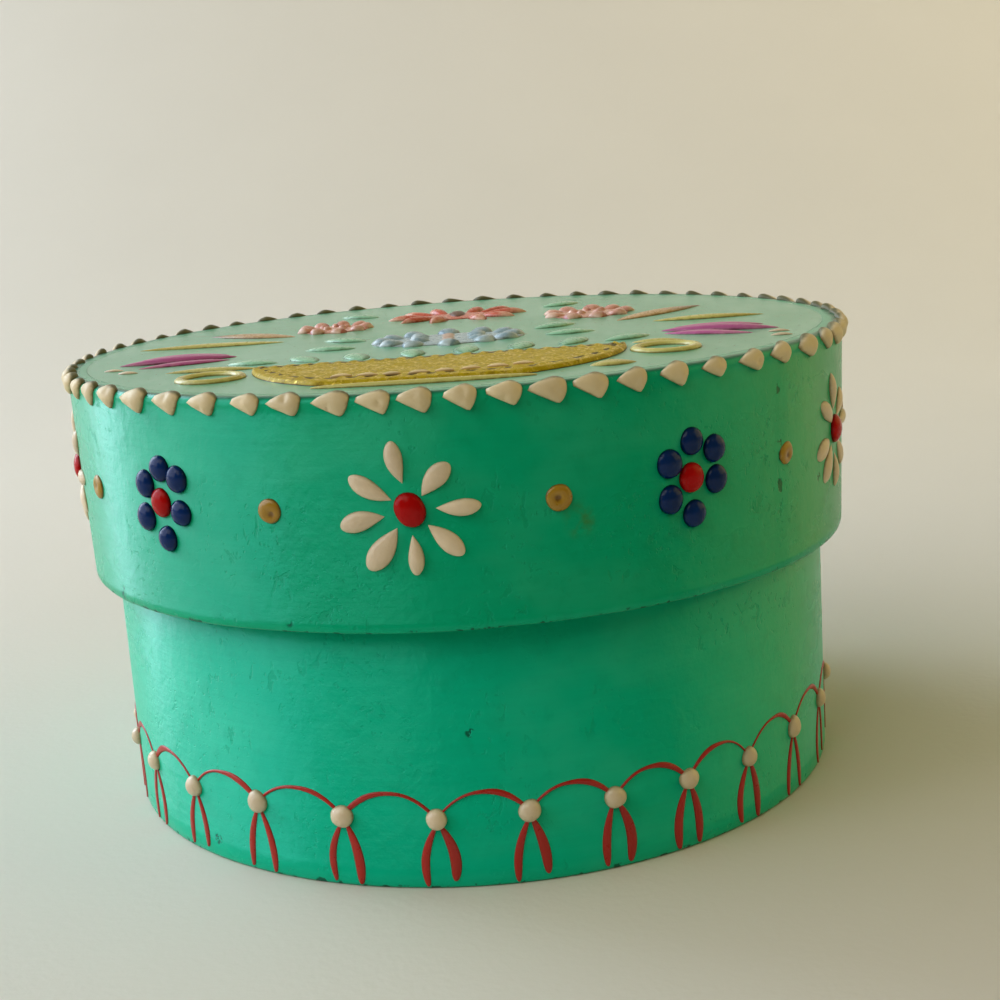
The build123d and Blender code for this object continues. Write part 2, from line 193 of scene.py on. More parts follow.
class PaintSettings(bpy.types.PropertyGroup):
    """Colours of the paints and the wood."""

    lid_teal: colour_prop("Lid teal", "Paint of the lid's side", 0, 168, 118)
    body_teal: colour_prop("Body teal", "Paint of the body", 0, 188, 144)
    sage: colour_prop("Sage", "Paint of the lid's top", 94, 170, 132)
    # This colour also paints the shade line along the strips' open edges.
    chipped: colour_prop("Chips", "Where the paint is chipped or pitted", 6, 66, 40)
    smear: colour_prop("Smear", "Olive smear of ochre paint", 70, 120, 18)
    wood: colour_prop("Wood", "Bare softwood", 196, 163, 118)
    cream: colour_prop("Cream", "Raised cream paint", 226, 205, 172)
    drop: colour_prop("Rim cream", "Cream paint of the rim's drops", 222, 203, 160)
    red: colour_prop("Red", "Glossy red hearts", 178, 4, 4)
    stroke_red: colour_prop("Stroke red", "Red arches and legs", 176, 24, 4)
    blue: colour_prop("Blue", "Glossy navy dots", 0, 38, 92)
    ochre: colour_prop("Ochre", "Ochre dots", 164, 124, 12)
    gold: colour_prop("Gold", "Glittering basket", 184, 158, 0)
    yellow: colour_prop("Yellow", "Pale yellow lines and leaves", 206, 196, 112)
    pale_blue: colour_prop("Pale blue", "The wide bloom", 150, 176, 184)
    pink: colour_prop("Pink", "Rose petals", 212, 152, 130)
    coral: colour_prop("Coral", "Carnation petals", 204, 98, 74)
    brown: colour_prop("Brown", "The carnation's cup", 92, 50, 34)
    magenta: colour_prop("Magenta", "Tulips", 190, 94, 148)
    tan: colour_prop("Tan", "Broad leaves", 196, 158, 106)
    mint: colour_prop("Mint", "Small leaves round the basket", 142, 198, 160)


class StageSettings(bpy.types.PropertyGroup):
    """Camera, floor and lights."""

    distance: length_prop("Distance", "From the camera to the box's middle", 215.4 * MM)
    aim_height: length_prop("Aim height", "Height that the camera circles", 30.0 * MM)
    elevation: angle_prop("Elevation", "Camera above the level", 0.23271)
    roll: angle_prop("Roll", "Camera's lean to the side", -0.069142)
    yaw: angle_prop("Yaw", "Aim to the right of the middle", 0.020251)
    pitch: angle_prop("Pitch", "Aim above the middle", 0.016219)
    lens: FloatProperty(
        name="Lens", description="Focal length in mm on 36 mm", default=56.99, subtype="DISTANCE_CAMERA"
    )
    floor: colour_prop("Floor", "Floor colour", 224, 220, 209)
    wall: colour_prop("Wall", "Backdrop colour", 210, 205, 193)
    haze: colour_prop("Haze", "What the camera sees beyond the floor", 205, 200, 184)
    window_power: power_prop("Window power", "Cool light from the left", 9.7)
    far_window_power: power_prop("Far window power", "Cool light from behind on the left", 7.4)
    skylight_power: power_prop("Skylight power", "Soft light from high on the left in front", 2.35)
    room_power: power_prop("Room power", "Broad warm light from the right", 2.1)
    bulb_power: power_prop("Bulb power", "Small warm light from the right", 0.06)
    backdrop_power: power_prop("Backdrop power", "Light on the backdrop's right side", 2.3)
    sky: FloatProperty(name="Sky", description="Strength of the light from all round", default=0.15)


class PaintedBoxSettings(bpy.types.PropertyGroup):
    """All settings of the painted box."""

    strips: PointerProperty(type=StripSettings)
    drops: PointerProperty(type=DropSettings)
    flowers: PointerProperty(type=FlowerSettings)
    border: PointerProperty(type=BorderSettings)
    picture: PointerProperty(type=PictureSettings)
    paints: PointerProperty(type=PaintSettings)
    stage: PointerProperty(type=StageSettings)


# Places on the box. Angles go round from the front, positive towards +X.


def swell(angle, z):
    """How far the strips stand out of the true round at a place."""
    settings = bpy.context.scene.painted_box.strips
    spot = Vector((1.4 * math.sin(angle), 1.4 * math.cos(angle), z * 22))
    return settings.swell * (0.5 + 0.5 * noise.noise(spot))


def round_place(angle, radius, z):
    """The point at an angle from the front, a radius and a height."""
    return Vector((radius * math.sin(angle), -radius * math.cos(angle), z))


def lid_radius_at(z):
    """Outer radius of the flared lid at a height."""
    share = (z - LID_FOOT) / (LID_TOP - LID_FOOT)
    return LID_RADIUS - LID_FLARE * (1 - share)


def lid_patch(angle, height):
    """Place on the lid's side, across, up and out from a point of it."""

    def place(across, up, out):
        z = height + up
        turn = angle + across / LID_RADIUS
        return round_place(turn, lid_radius_at(z) + swell(turn, z) + out, z)

    return place


def body_patch(angle, height):
    """Place on the body's side, across, up and out from a point of it."""

    def place(across, up, out):
        z = height + up
        turn = angle + across / BODY_RADIUS
        return round_place(turn, BODY_RADIUS + swell(turn, z) + out, z)

    return place


def rim_patch(angle):
    """Place on the lid's rim: along it, over the rounded corner and out."""
    half_arc = RIM_ROUNDING * math.pi / 4
    centre_z = LID_TOP - RIM_ROUNDING

    def place(along, over, out):
        turn = angle + along / LID_RADIUS
        grown = swell(turn, LID_TOP)
        if over < -half_arc:
            z = centre_z + over + half_arc
            return round_place(turn, lid_radius_at(z) + grown + out, z)
        if over > half_arc:
            radius = LID_RADIUS - RIM_ROUNDING - (over - half_arc)
            return round_place(turn, radius, LID_TOP + out)
        lean = (over + half_arc) / RIM_ROUNDING
        reach = RIM_ROUNDING + out
        radius = LID_RADIUS - RIM_ROUNDING + grown * math.cos(lean) + reach * math.cos(lean)
        return round_place(turn, radius, centre_z + reach * math.sin(lean))

    return place


def top_patch(x, y, turn=0.0, floor=0.0):
    """Place on the lid's top, its middle in hundredths of the board's radius, turned in degrees."""
    cos_turn = math.cos(math.radians(turn))
    sin_turn = math.sin(math.radians(turn))

    def place(along, aside, out):
        px = x * UNIT + along * cos_turn - aside * sin_turn
        py = y * UNIT + along * sin_turn + aside * cos_turn
        return Vector((px, py, LID_TOP + floor + out))

    return place


# Raised paint. Each dab keeps how high it stands, how far along it lies and its own chance shade.


def paint_layers(mesh):
    """The values that a dab of paint hands to its finish."""
    layers = mesh.verts.layers.float
    names = ("rise", "along", "aside", "chance")
    return [layers.get(name) or layers.new(name) for name in names]


def add_ball(mesh, sides, rings):
    """Adds a ball of radius 1 to a piece. Balls of one kind are made once and then copied."""
    name = f"ball_{sides}_{rings}"
    data = bpy.data.meshes.get(name)
    if data is None:
        shape = bmesh.new()
        bmesh.ops.create_uvsphere(shape, u_segments=sides, v_segments=rings, radius=1)
        data = bpy.data.meshes.new(name)
        shape.to_mesh(data)
        shape.free()
    paint_layers(mesh)
    before = len(mesh.verts)
    mesh.from_mesh(data)
    mesh.verts.ensure_lookup_table()
    return mesh.verts[before:]


def blob(
    mesh, place, outline, relief, chance, dent=None, lean=(0, 0), sink=0.25 * MM, sides=24, rings=12
):
    """A dab of paint: a ball spread to an outline, domed to its relief and sunk into the surface.

    Its top may lean away from its middle, and a dent may be pressed into it.
    """
    verts = add_ball(mesh, sides, rings)
    rise_layer, along_layer, aside_layer, chance_layer = paint_layers(mesh)
    for vert in verts:
        x, y, z = vert.co
        turn = math.atan2(y, x)
        reach = math.hypot(x, y) * outline(turn)
        along = reach * math.cos(turn)
        aside = reach * math.sin(turn)
        pressed = 0.0
        if z > 0:
            along += lean[0] * z * z
            aside += lean[1] * z * z
            if dent:
                pressed = dent(along, aside) * z
            out = relief * z - pressed
        else:
            out = sink * z
        vert.co = place(along, aside, out)
        # A dent lowers the rise, so the finish paints shade into it as at the dab's foot.
        vert[rise_layer] = max(z - 1.6 * pressed / relief, 0)
        vert[along_layer] = along / outline(0) / 2 + 0.5
        vert[aside_layer] = aside / outline(math.pi / 2) / 2 + 0.5
        vert[chance_layer] = chance


def stroke(mesh, place, path, width, relief, chance, sink=0.2 * MM, sides=12, rings=14, flip=1):
    """A brushed or squeezed line of paint: a ball drawn out along a path, its poles at the ends.

    A flip of -1 swaps the sides that a second paint lies along.
    """
    verts = add_ball(mesh, sides, rings)
    rise_layer, along_layer, aside_layer, chance_layer = paint_layers(mesh)
    for vert in verts:
        x, y, z = vert.co
        share = (1 + z) / 2
        ring = math.hypot(x, y)
        across, up = (x / ring, y / ring) if ring > 1e-5 else (0.0, 0.0)
        here = Vector(path(share))
        ahead = Vector(path(min(share + 0.01, 1.0))) - Vector(path(max(share - 0.01, 0.0)))
        ahead.normalize()
        aside = across * width(share) / 2
        out = up * (relief(share) if up > 0 else sink)
        if ring <= 1e-5:
            out = 0.0
        vert.co = place(here[0] - ahead[1] * aside, here[1] + ahead[0] * aside, out)
        vert[rise_layer] = max(up, 0)
        vert[along_layer] = share
        vert[aside_layer] = flip * across / 2 + 0.5
        vert[chance_layer] = chance


def bulge(full_at, start_power, end_power):
    """Share of the full width along a stroke: 1 at full_at, thinning to each end."""

    def share_at(share):
        if share < full_at:
            return math.sin(math.pi / 2 * share / full_at) ** start_power
        return math.sin(math.pi / 2 * (1 - share) / (1 - full_at)) ** end_power

    return share_at


def even(size):
    """A profile that is the same all along."""
    return lambda share: size


def scaled(profile, size):
    """A profile times a size."""
    return lambda share: profile(share) * size


def straight(length, bend=0.0):
    """A path along the first axis with a bow to the side."""
    return lambda share: (length * share, bend * math.sin(math.pi * share))


def ellipse(radius_along, radius_aside):
    """Outline of an oval dab."""

    def reach(turn):
        along = math.cos(turn) / radius_along
        aside = math.sin(turn) / radius_aside
        return 1 / math.hypot(along, aside)

    return reach


def uneven(outline, amount, seed):
    """An outline with soft hand-made bumps."""

    def reach(turn):
        spot = Vector((math.cos(turn), math.sin(turn), seed * 3.7))
        return outline(turn) * (1 + amount * noise.noise(spot))

    return reach


def finish_piece(mesh, name, body, nodes, slot, material):
    """Makes a bmesh a smooth piece that rides on a body and stands for its CAD nodes."""
    bmesh.ops.recalc_face_normals(mesh, faces=mesh.faces)
    data = bpy.data.meshes.new(name)
    mesh.to_mesh(data)
    mesh.free()
    data.shade_smooth()
    data.materials.append(material)
    piece = bpy.data.objects.new(name, data)
    bpy.context.scene.collection.objects.link(piece)
    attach(piece, body)
    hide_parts(*nodes)
    return piece


def finish_dabs(mesh, *piece):
    """Makes a piece of dabs, with the faces of every dab turned outward."""
    mesh.normal_update()
    return finish_piece(mesh, *piece)


# Finishes


class Value:
    """A socket that takes part in Python sums: each sum adds its Math node."""

    def __init__(self, finish, socket):
        self.finish = finish
        self.socket = socket

    def __add__(self, other):
        return self.finish.maths("ADD", self, other)

    def __radd__(self, other):
        return self.finish.maths("ADD", other, self)

    def __sub__(self, other):
        return self.finish.maths("SUBTRACT", self, other)

    def __rsub__(self, other):
        return self.finish.maths("SUBTRACT", other, self)

    def __mul__(self, other):
        return self.finish.maths("MULTIPLY", self, other)

    def __rmul__(self, other):
        return self.finish.maths("MULTIPLY", other, self)


class Finish:
    """A node material on Object coordinates, built up from its shader."""

    def __init__(self, name):
        self.material = bpy.data.materials.new(name)
        self.material.use_nodes = True
        self.tree = self.material.node_tree
        self.tree.nodes.clear()
        self.shader = self.node("ShaderNodeBsdfPrincipled")
        self.node("ShaderNodeOutputMaterial", {}, {0: self.shader.outputs[0]})
        self.place = self.node("ShaderNodeTexCoord").outputs["Object"]

    def node(self, kind, settings=None, inputs=None):
        """Adds a node: its settings first, then the values and links of its sockets."""
        made = self.tree.nodes.new(kind)
        for key, value in (settings or {}).items():
            setattr(made, key, value)
        self.feed(made, inputs or {})
        return made

    def feed(self, node, inputs):
        """Sets a node's sockets to values, or links them."""
        for key, value in inputs.items():
            if isinstance(value, Value):
                value = value.socket
            if isinstance(value, bpy.types.NodeSocket):
                self.tree.links.new(value, node.inputs[key])
            else:
                node.inputs[key].default_value = value

    def maths(self, operation, *inputs):
        """The value of a Math node."""
        made = self.node("ShaderNodeMath", {"operation": operation}, dict(enumerate(inputs)))
        return Value(self, made.outputs[0])

    def stretched(self, scale):
        """Object coordinates, drawn out along each axis."""
        inputs = {"Vector": self.place, "Scale": scale}
        return self.node("ShaderNodeMapping", {"vector_type": "TEXTURE"}, inputs).outputs[0]

    def noise(self, size, detail=3.0, place=None, roughness=0.5, warp=0.0):
        """Soft noise with features of a size in metres."""
        inputs = {
            "Vector": place or self.place,
            "Scale": 1 / size,
            "Detail": detail,
            "Roughness": roughness,
            "Distortion": warp,
        }
        return Value(self, self.node("ShaderNodeTexNoise", {}, inputs).outputs[0])

    def flakes(self, size):
        """A chance value for each cell of a size in metres."""
        cells = self.node("ShaderNodeTexVoronoi", {}, {"Vector": self.place, "Scale": 1 / size})
        parts = self.node("ShaderNodeSeparateColor", {}, {0: cells.outputs["Color"]})
        return Value(self, parts.outputs[0])

    def mask(self, value, low, high):
        """0 below low, 1 above high and smooth between."""
        settings = {"interpolation_type": "SMOOTHSTEP", "clamp": True}
        inputs = {"Value": value, "From Min": low, "From Max": high}
        return Value(self, self.node("ShaderNodeMapRange", settings, inputs).outputs[0])

    def axis(self, name):
        """One of the Object coordinates."""
        node = self.node("ShaderNodeSeparateXYZ", {}, {0: self.place})
        return Value(self, node.outputs[name])

    def vector(self, operation, *inputs):
        """A Vector Math node."""
        return self.node("ShaderNodeVectorMath", {"operation": operation}, dict(enumerate(inputs)))

    def radius(self):
        """Distance from the box's middle axis."""
        flat = self.vector("MULTIPLY", self.place, (1, 1, 0)).outputs[0]
        return Value(self, self.vector("LENGTH", flat).outputs["Value"])

    def angle(self):
        """Angle round the box from its front, in radians."""
        return self.maths("ARCTAN2", self.axis("X"), 0 - self.axis("Y"))

    def spot(self, angle, radius, height, low, high):
        """1 near a place on the box, fading to 0 between two distances."""
        place = tuple(round_place(math.radians(angle), radius, height))
        away = self.vector("DISTANCE", self.place, place).outputs["Value"]
        return 1 - self.mask(away, low, high)

    def attribute(self, name):
        """A value that the piece's own mesh holds."""
        node = self.node("ShaderNodeAttribute", {"attribute_name": name})
        return Value(self, node.outputs["Fac"])

    def blend(self, factor, low, high):
        """Mixes two colours."""
        settings = {"data_type": "RGBA", "clamp_factor": True}
        inputs = {0: factor, 6: self.colour(low), 7: self.colour(high)}
        return self.node("ShaderNodeMix", settings, inputs).outputs[2]

    def colour(self, value):
        """A colour with its alpha, or a link as it is."""
        if isinstance(value, bpy.types.NodeSocket):
            return value
        return (*value, 1.0)

    def shade(self, colour, value, low=0.8, high=1.15):
        """Makes a colour darker or lighter by a value from 0 to 1."""
        scaling = {"operation": "SCALE"}
        amount = low + (high - low) * value
        return self.node("ShaderNodeVectorMath", scaling, {"Vector": colour, "Scale": amount}).outputs[0]

    def dress(
        self, colour, roughness, bump, bump_depth, metallic=0.0, coat=0.0, tint=(1.0, 1.0, 1.0), shine=0.5
    ):
        """Joins colour, roughness, bump and gloss to the shader."""
        bumps = self.node("ShaderNodeBump", {}, {"Strength": 1.0, "Distance": bump_depth, "Height": bump})
        inputs = {
            "Base Color": colour,
            "Roughness": roughness,
            "Metallic": metallic,
            "Specular IOR Level": shine,
            "Specular Tint": (*tint, 1.0),
            "Coat Weight": coat,
            "Coat Roughness": COAT_ROUGHNESS,
            "Normal": bumps.outputs[0],
        }
        self.feed(self.shader, inputs)
        return self.material


def darker(colour, shares):
    """A colour with each of its parts taken down to a share."""
    return tuple(part * share for part, share in zip(colour, shares))


def lighter(colour, share, more):
    """A colour scaled and raised, and no brighter than white."""
    return tuple(min(1.0, part * share + more) for part in colour)


def wood_colour(finish, wood, along):
    """Softwood with soft and hard year rings, drawn out along one axis."""
    place = finish.stretched(along)
    rings = finish.noise(1.6 * MM, 4.0, place, 0.6)
    pores = finish.noise(0.5 * MM, 2.0, place)
    colour = finish.blend(finish.mask(rings, 0.42, 0.66), wood, darker(wood, (0.62, 0.5, 0.38)))
    return finish.shade(colour, pores, 0.85, 1.12), rings * 0.6 + pores * 0.4


def chipped(finish, colour, paints, radius, open_edge, seam, marks, lumps, fine):
    """Chips where the strip's end has split, along its open edge and at single marks, and a thin painted
    shade line along the open edge.
    """
    near_seam = finish.maths("COMPARE", finish.angle() + lumps * 0.02, seam, 0.007)
    split = near_seam * finish.mask(finish.noise(2.2 * MM, 3.0), 0.56, 0.62)
    uneven_height = finish.axis("Z") + (lumps - 0.5) * (2.4 * MM)
    past_edge = finish.mask(uneven_height, open_edge + 0.3 * MM, open_edge + 0.9 * MM)
    worn = finish.mask(finish.noise(1.3 * MM, 3.0), 0.57, 0.64) * (1 - past_edge)
    # Painted shade: a thin line in the chips' colour along the open edge, where the lid's edge meets the
    # body and the body's foot meets the floor.
    line = 1 - finish.mask(finish.axis("Z"), open_edge, open_edge + 0.5 * MM)
    chips = split + worn + line * 0.45
    for angle, mark_height, size in marks:
        ragged = finish.mask((lumps - 0.5) * size + fine, 0.46, 0.52)
        chips = chips + finish.spot(angle, radius, mark_height, size * 0.4, size) * ragged
    return finish.blend(finish.mask(chips, 0.2, 0.9) * 0.85, colour, paints.chipped), chips


def lid_rim(finish, colour, teal, paints, lumps):
    """The smear on the lid's side, and the rim's top: painted shade by the drops, and sage by the board."""
    smeared = finish.spot(13.6, LID_RADIUS, FLOWER_ROW - 2.6 * MM, 0.6 * MM, 2.6 * MM)
    colour = finish.blend(smeared * finish.mask(lumps, 0.36, 0.6) * 0.75, colour, paints.smear)
    top = finish.mask(finish.axis("Z"), LID_TOP - 0.35 * MM, LID_TOP - 0.05 * MM)
    # Painted shade on the rim's top: the teal taken down to a deep green near the drops.
    shadow = tuple(part + 0.01 for part in darker(teal, (1.0, 0.26, 0.24)))
    colour = finish.blend(top * 0.9, colour, shadow)
    past_board = finish.radius() + (lumps - 0.5) * (1.2 * MM)
    sage_top = top - finish.mask(past_board, BOARD_RADIUS + 0.7 * MM, BOARD_RADIUS + 1.5 * MM)
    return finish.blend(finish.mask(sage_top, 0.0, 1.0), colour, paints.sage)


def strip_finish(name, teal, paints, radius, inner, open_edge, seam, marks):
    """Glossy teal paint outside a bent strip, pitted and chipped here and there, and bare wood inside.

    Marks are single chips: an angle from the front in degrees, a height and a size.
    """
    finish = Finish(name)
    clouds = finish.noise(13 * MM, 3.0, finish.stretched((1.4, 1.4, 1.0)), 0.55)
    lumps = finish.noise(2.6 * MM, 4.0, None, 0.6)
    fine = finish.noise(0.7 * MM, 2.0, None, 0.55)
    brush = finish.noise(1.0 * MM, 3.0, finish.stretched((9.0, 9.0, 0.6)), 0.6)
    deep = darker(teal, (0.4, 0.78, 0.72))
    colour = finish.blend(finish.mask(clouds, 0.48, 0.72) * 0.5, teal, lighter(teal, 1.08, 0.03))
    colour = finish.blend(finish.mask(lumps, 0.52, 0.7) * 0.3, colour, deep)
    colour = finish.shade(colour, brush, 0.93, 1.07)

    patches = finish.mask(finish.noise(10 * MM, 2.0), 0.46, 0.6)
    pits = finish.mask(fine, 0.62, 0.68) * patches
    long_noise = finish.noise(1.7 * MM, 3.0, finish.stretched((1.0, 1.0, 1.6)), 0.6, 0.6)
    flecks = finish.mask(long_noise, 0.62, 0.66) * patches
    colour = finish.blend(finish.mask(pits * 0.7 + flecks, 0.1, 1.0) * 0.5, colour, deep)
    colour, chips = chipped(finish, colour, paints, radius, open_edge, seam, marks, lumps, fine)

    wood, grain = wood_colour(finish, paints.wood, (9.0, 9.0, 0.6))
    uneven_radius = finish.radius() + (brush - 0.5) * (0.6 * MM)
    painted = finish.mask(uneven_radius, inner + 0.5 * MM, inner + 0.9 * MM)
    if radius == LID_RADIUS:
        colour = lid_rim(finish, colour, teal, paints, lumps)
        flat_top = finish.mask(finish.axis("Z"), LID_TOP - 0.8 * MM, LID_TOP - 0.6 * MM)
        painted = finish.mask(painted + flat_top, 0.0, 1.0)
    colour = finish.blend(painted, wood, colour)
    dull = (clouds - 0.5) * 0.12 + (pits + flecks + chips) * painted * 0.12
    roughness = WOOD_ROUGHNESS - painted * (WOOD_ROUGHNESS - PAINT_ROUGHNESS) + dull
    relief = lumps * 0.8 + brush * 0.12 + grain * (1 - painted) * 0.3
    bump = relief - pits * 0.22 - flecks * 0.16 - chips * 0.3
    return finish.dress(colour, roughness, bump, 0.12 * MM, tint=(0.2, 1.0, 0.92))


def board_finish(name, paints):
    """Smooth sage paint on a board's top, and bare wood below."""
    finish = Finish(name)
    clouds = finish.noise(16 * MM, 4.0, finish.stretched((1.0, 2.2, 1.0)), 0.55)
    brush = finish.noise(0.9 * MM, 3.0, finish.stretched((12.0, 0.7, 1.0)), 0.55)
    colour = finish.blend(finish.mask(clouds, 0.4, 0.68), paints.sage, lighter(paints.sage, 1.0, 0.08))
    colour = finish.shade(colour, brush, 0.93, 1.06)
    specks = finish.mask(finish.noise(0.6 * MM, 2.0), 0.7, 0.74)
    colour = finish.blend(specks * 0.5, colour, paints.chipped)
    edge = finish.mask(finish.radius(), BOARD_RADIUS - 0.5 * MM, BOARD_RADIUS)
    colour = finish.blend(edge * 0.12, colour, paints.chipped)
    wood, grain = wood_colour(finish, paints.wood, (9.0, 0.8, 1.0))
    painted = finish.mask(finish.axis("Z"), LID_TOP - 0.7 * MM, LID_TOP - 0.4 * MM)
    colour = finish.blend(painted, wood, colour)
    bump = brush * 0.5 + clouds * 0.3 + grain * (1 - painted) * 0.3
    roughness = WOOD_ROUGHNESS - painted * (WOOD_ROUGHNESS - BOARD_ROUGHNESS)
    return finish.dress(colour, roughness, bump, 0.04 * MM)


def wood_finish(name, wood, along):
    """Bare planed softwood."""
    finish = Finish(name)
    colour, grain = wood_colour(finish, wood, along)
    return finish.dress(colour, WOOD_ROUGHNESS + (grain - 0.5) * 0.15, grain, 0.06 * MM)


def dab_finish(
    name, paint, roughness=0.3, edge=0.55, coat=0.0, grit=0.35, tip=None, side=None, spread=0.16,
    shine=0.5, inside=None,
):
    """Raised paint with painted shade where it meets the surface, and that varies from dab to dab.

    A brush that held two paints leaves a second one at the tip or along one side. Grime and painted
    shade darken what faces the inside of the rim, given as their colour and its radius.
    """
    finish = Finish(name)
    chance = finish.attribute("chance")
    mottle = finish.noise(0.8 * MM, 3.0, None, 0.55)
    fine = finish.noise(0.28 * MM, 2.0)
    drag = (mottle - 0.5) * 0.7 + (chance - 0.5) * 0.25
    # Painted shade: each dab is taken down to the edge share towards its foot and in its dents, where its
    # rise is low.
    raised = finish.mask(finish.attribute("rise") + (mottle - 0.5) * 0.5, 0.02, 0.5)
    colour = finish.blend(raised, darker(paint, (edge, 0.85 * edge, 0.7 * edge)), paint)
    if tip:
        at_tip = finish.mask(finish.attribute("along") + drag, 0.5, 0.95)
        colour = finish.blend(at_tip * 0.85, colour, tip)
    if side:
        at_side = finish.mask(finish.attribute("aside") + drag * 0.6, 0.58, 0.86)
        colour = finish.blend(at_side * 0.9, colour, side)
    if inside:
        # Grime and painted shade on what faces the inside of the rim.
        dirt_and_shade, radius = inside
        uneven_radius = finish.radius() + (mottle - 0.5) * (0.5 * MM)
        kept = finish.mask(uneven_radius, radius - 0.4 * MM, radius + 0.2 * MM)
        colour = finish.blend(0.9 - kept * 0.9, colour, dirt_and_shade)
    colour = finish.shade(colour, mottle * 0.5 + chance * 0.5, 1 - spread, 1 + spread)
    rough = roughness + (mottle - 0.5) * 0.16
    return finish.dress(colour, rough, mottle * 0.7 + fine * grit, 0.07 * MM, coat=coat, shine=shine)


def glitter_finish(name, gold, painted_shade):
    """Gold paint full of small bright flakes, with painted shade in a row of gaps along its edges and where
    it meets the lid.
    """
    finish = Finish(name)
    gap = finish.attribute("chance")
    bright = finish.flakes(0.34 * MM)
    lumps = finish.noise(0.8 * MM, 3.0, None, 0.6)
    colour = finish.blend(finish.mask(bright, 0.6, 0.95), gold, lighter(gold, 1.35, 0.07))
    colour = finish.blend(finish.mask(lumps, 0.52, 0.68) * 0.75, colour, darker(gold, (0.5, 0.45, 0.3)))
    # Painted shade in the gaps of the brim and floor rows, and at the basket's foot where its rise is low.
    colour = finish.blend(finish.mask(gap + (lumps - 0.5) * 0.8, 0.3, 0.6) * 0.9, colour, painted_shade)
    colour = finish.blend(1 - finish.mask(finish.attribute("rise"), 0.02, 0.3), colour, painted_shade)
    rough = 0.5 - finish.mask(bright, 0.6, 0.9) * 0.22
    metal = finish.mask(bright, 0.72, 0.95) * 0.6
    bump = bright * 0.3 + lumps * 0.9 - gap * 0.4
    return finish.dress(colour, rough, bump, 0.1 * MM, metallic=metal, shine=0.2)


def stage_finish(name, stage):
    """Plain pale floor that turns to the wall's colour behind, and to a pale haze in front and aside.

    Only the camera sees the haze, so it lights nothing.
    """
    finish = Finish(name)
    black = (0.0, 0.0, 0.0)
    colour = finish.blend(finish.mask(finish.axis("Y"), 0.05, 0.5), stage.floor, stage.wall)
    colour = finish.shade(colour, finish.noise(60 * MM, 2.0), 0.98, 1.02)
    front = finish.mask(finish.radius(), 0.28, 0.65) * (1 - finish.mask(finish.axis("Y"), 0.1, 0.3))
    sides = finish.mask(finish.maths("ABSOLUTE", finish.axis("X")), 0.42, 0.75)
    seen = Value(finish, finish.node("ShaderNodeLightPath").outputs["Is Camera Ray"])
    far = finish.mask(front + sides, 0.0, 1.0) * seen
    glow = finish.blend(far, black, stage.haze)
    finish.feed(finish.shader, {"Emission Color": glow, "Emission Strength": 1.0})
    grain = finish.noise(1.2 * MM, 3.0)
    return finish.dress(finish.blend(far, colour, black), 0.7, grain, 0.05 * MM, shine=0.15)


# Operators


class PaintedBoxOperator:
    """What every operator of the box shares."""

    bl_options = {"REGISTER", "UNDO"}

    def settings(self, context):
        return context.scene.painted_box


def turned_strip(inner_low, outer_low, outer_high, inner_high, rounding, steps):
    """A strip bent to a ring: its section is rounded, divided and spun round."""
    mesh = bmesh.new()
    section = (inner_low, outer_low, outer_high, inner_high)
    corners = [mesh.verts.new((radius, 0, z)) for radius, z in section]
    mesh.faces.new(corners)
    low, outer_top, inner_top = rounding
    for geometry, offset in ((corners[:2], low), (corners[2:3], outer_top), (corners[3:], inner_top)):
        bmesh.ops.bevel(
            mesh, geom=geometry, offset=offset, offset_type="OFFSET", affect="VERTICES",
            segments=4, profile=0.5, material=-1, clamp_overlap=True,
        )
    long_edges = [edge for edge in mesh.edges if edge.calc_length() > 5 * MM]
    bmesh.ops.subdivide_edges(mesh, edges=long_edges, cuts=24, use_grid_fill=False)
    bmesh.ops.delete(mesh, geom=mesh.faces[:], context="FACES_ONLY")
    bmesh.ops.spin(
        mesh, geom=mesh.verts[:] + mesh.edges[:], cent=(0, 0, 0), axis=(0, 0, 1),
        angle=math.tau, steps=steps, use_merge=True, use_duplicate=False,
    )
    bmesh.ops.remove_doubles(mesh, verts=mesh.verts, dist=0.001 * MM)
    return mesh


def roughen(mesh, outer_radius_at, low_edge, wear, lap_angle, lap_step):
    """Swells a turned strip, wears its lower edge and shows the end of its lap."""
    for vert in mesh.verts:
        angle = math.atan2(vert.co.x, -vert.co.y)
        radius = math.hypot(vert.co.x, vert.co.y)
        z = vert.co.z
        if radius > outer_radius_at(z) - STRIP_WALL / 2:
            radius += swell(angle, z)
            past = (angle - lap_angle) % math.tau
            if past < LAP_TAPER and z < LID_TOP - 2 * MM:
                radius += lap_step * (1 - past / LAP_TAPER)
        if wear and z < low_edge + WEAR_HEIGHT:
            fine = noise.noise(Vector((math.sin(angle) * 22, math.cos(angle) * 22, 0.3)))
            broad = noise.noise(Vector((math.sin(angle) * 5, math.cos(angle) * 5, 4.1)))
            fade = 1 - (z - low_edge) / WEAR_HEIGHT
            z += wear * fade * (0.5 + 0.3 * broad + 0.45 * max(fine, 0))
        vert.co = round_place(angle, radius, z)


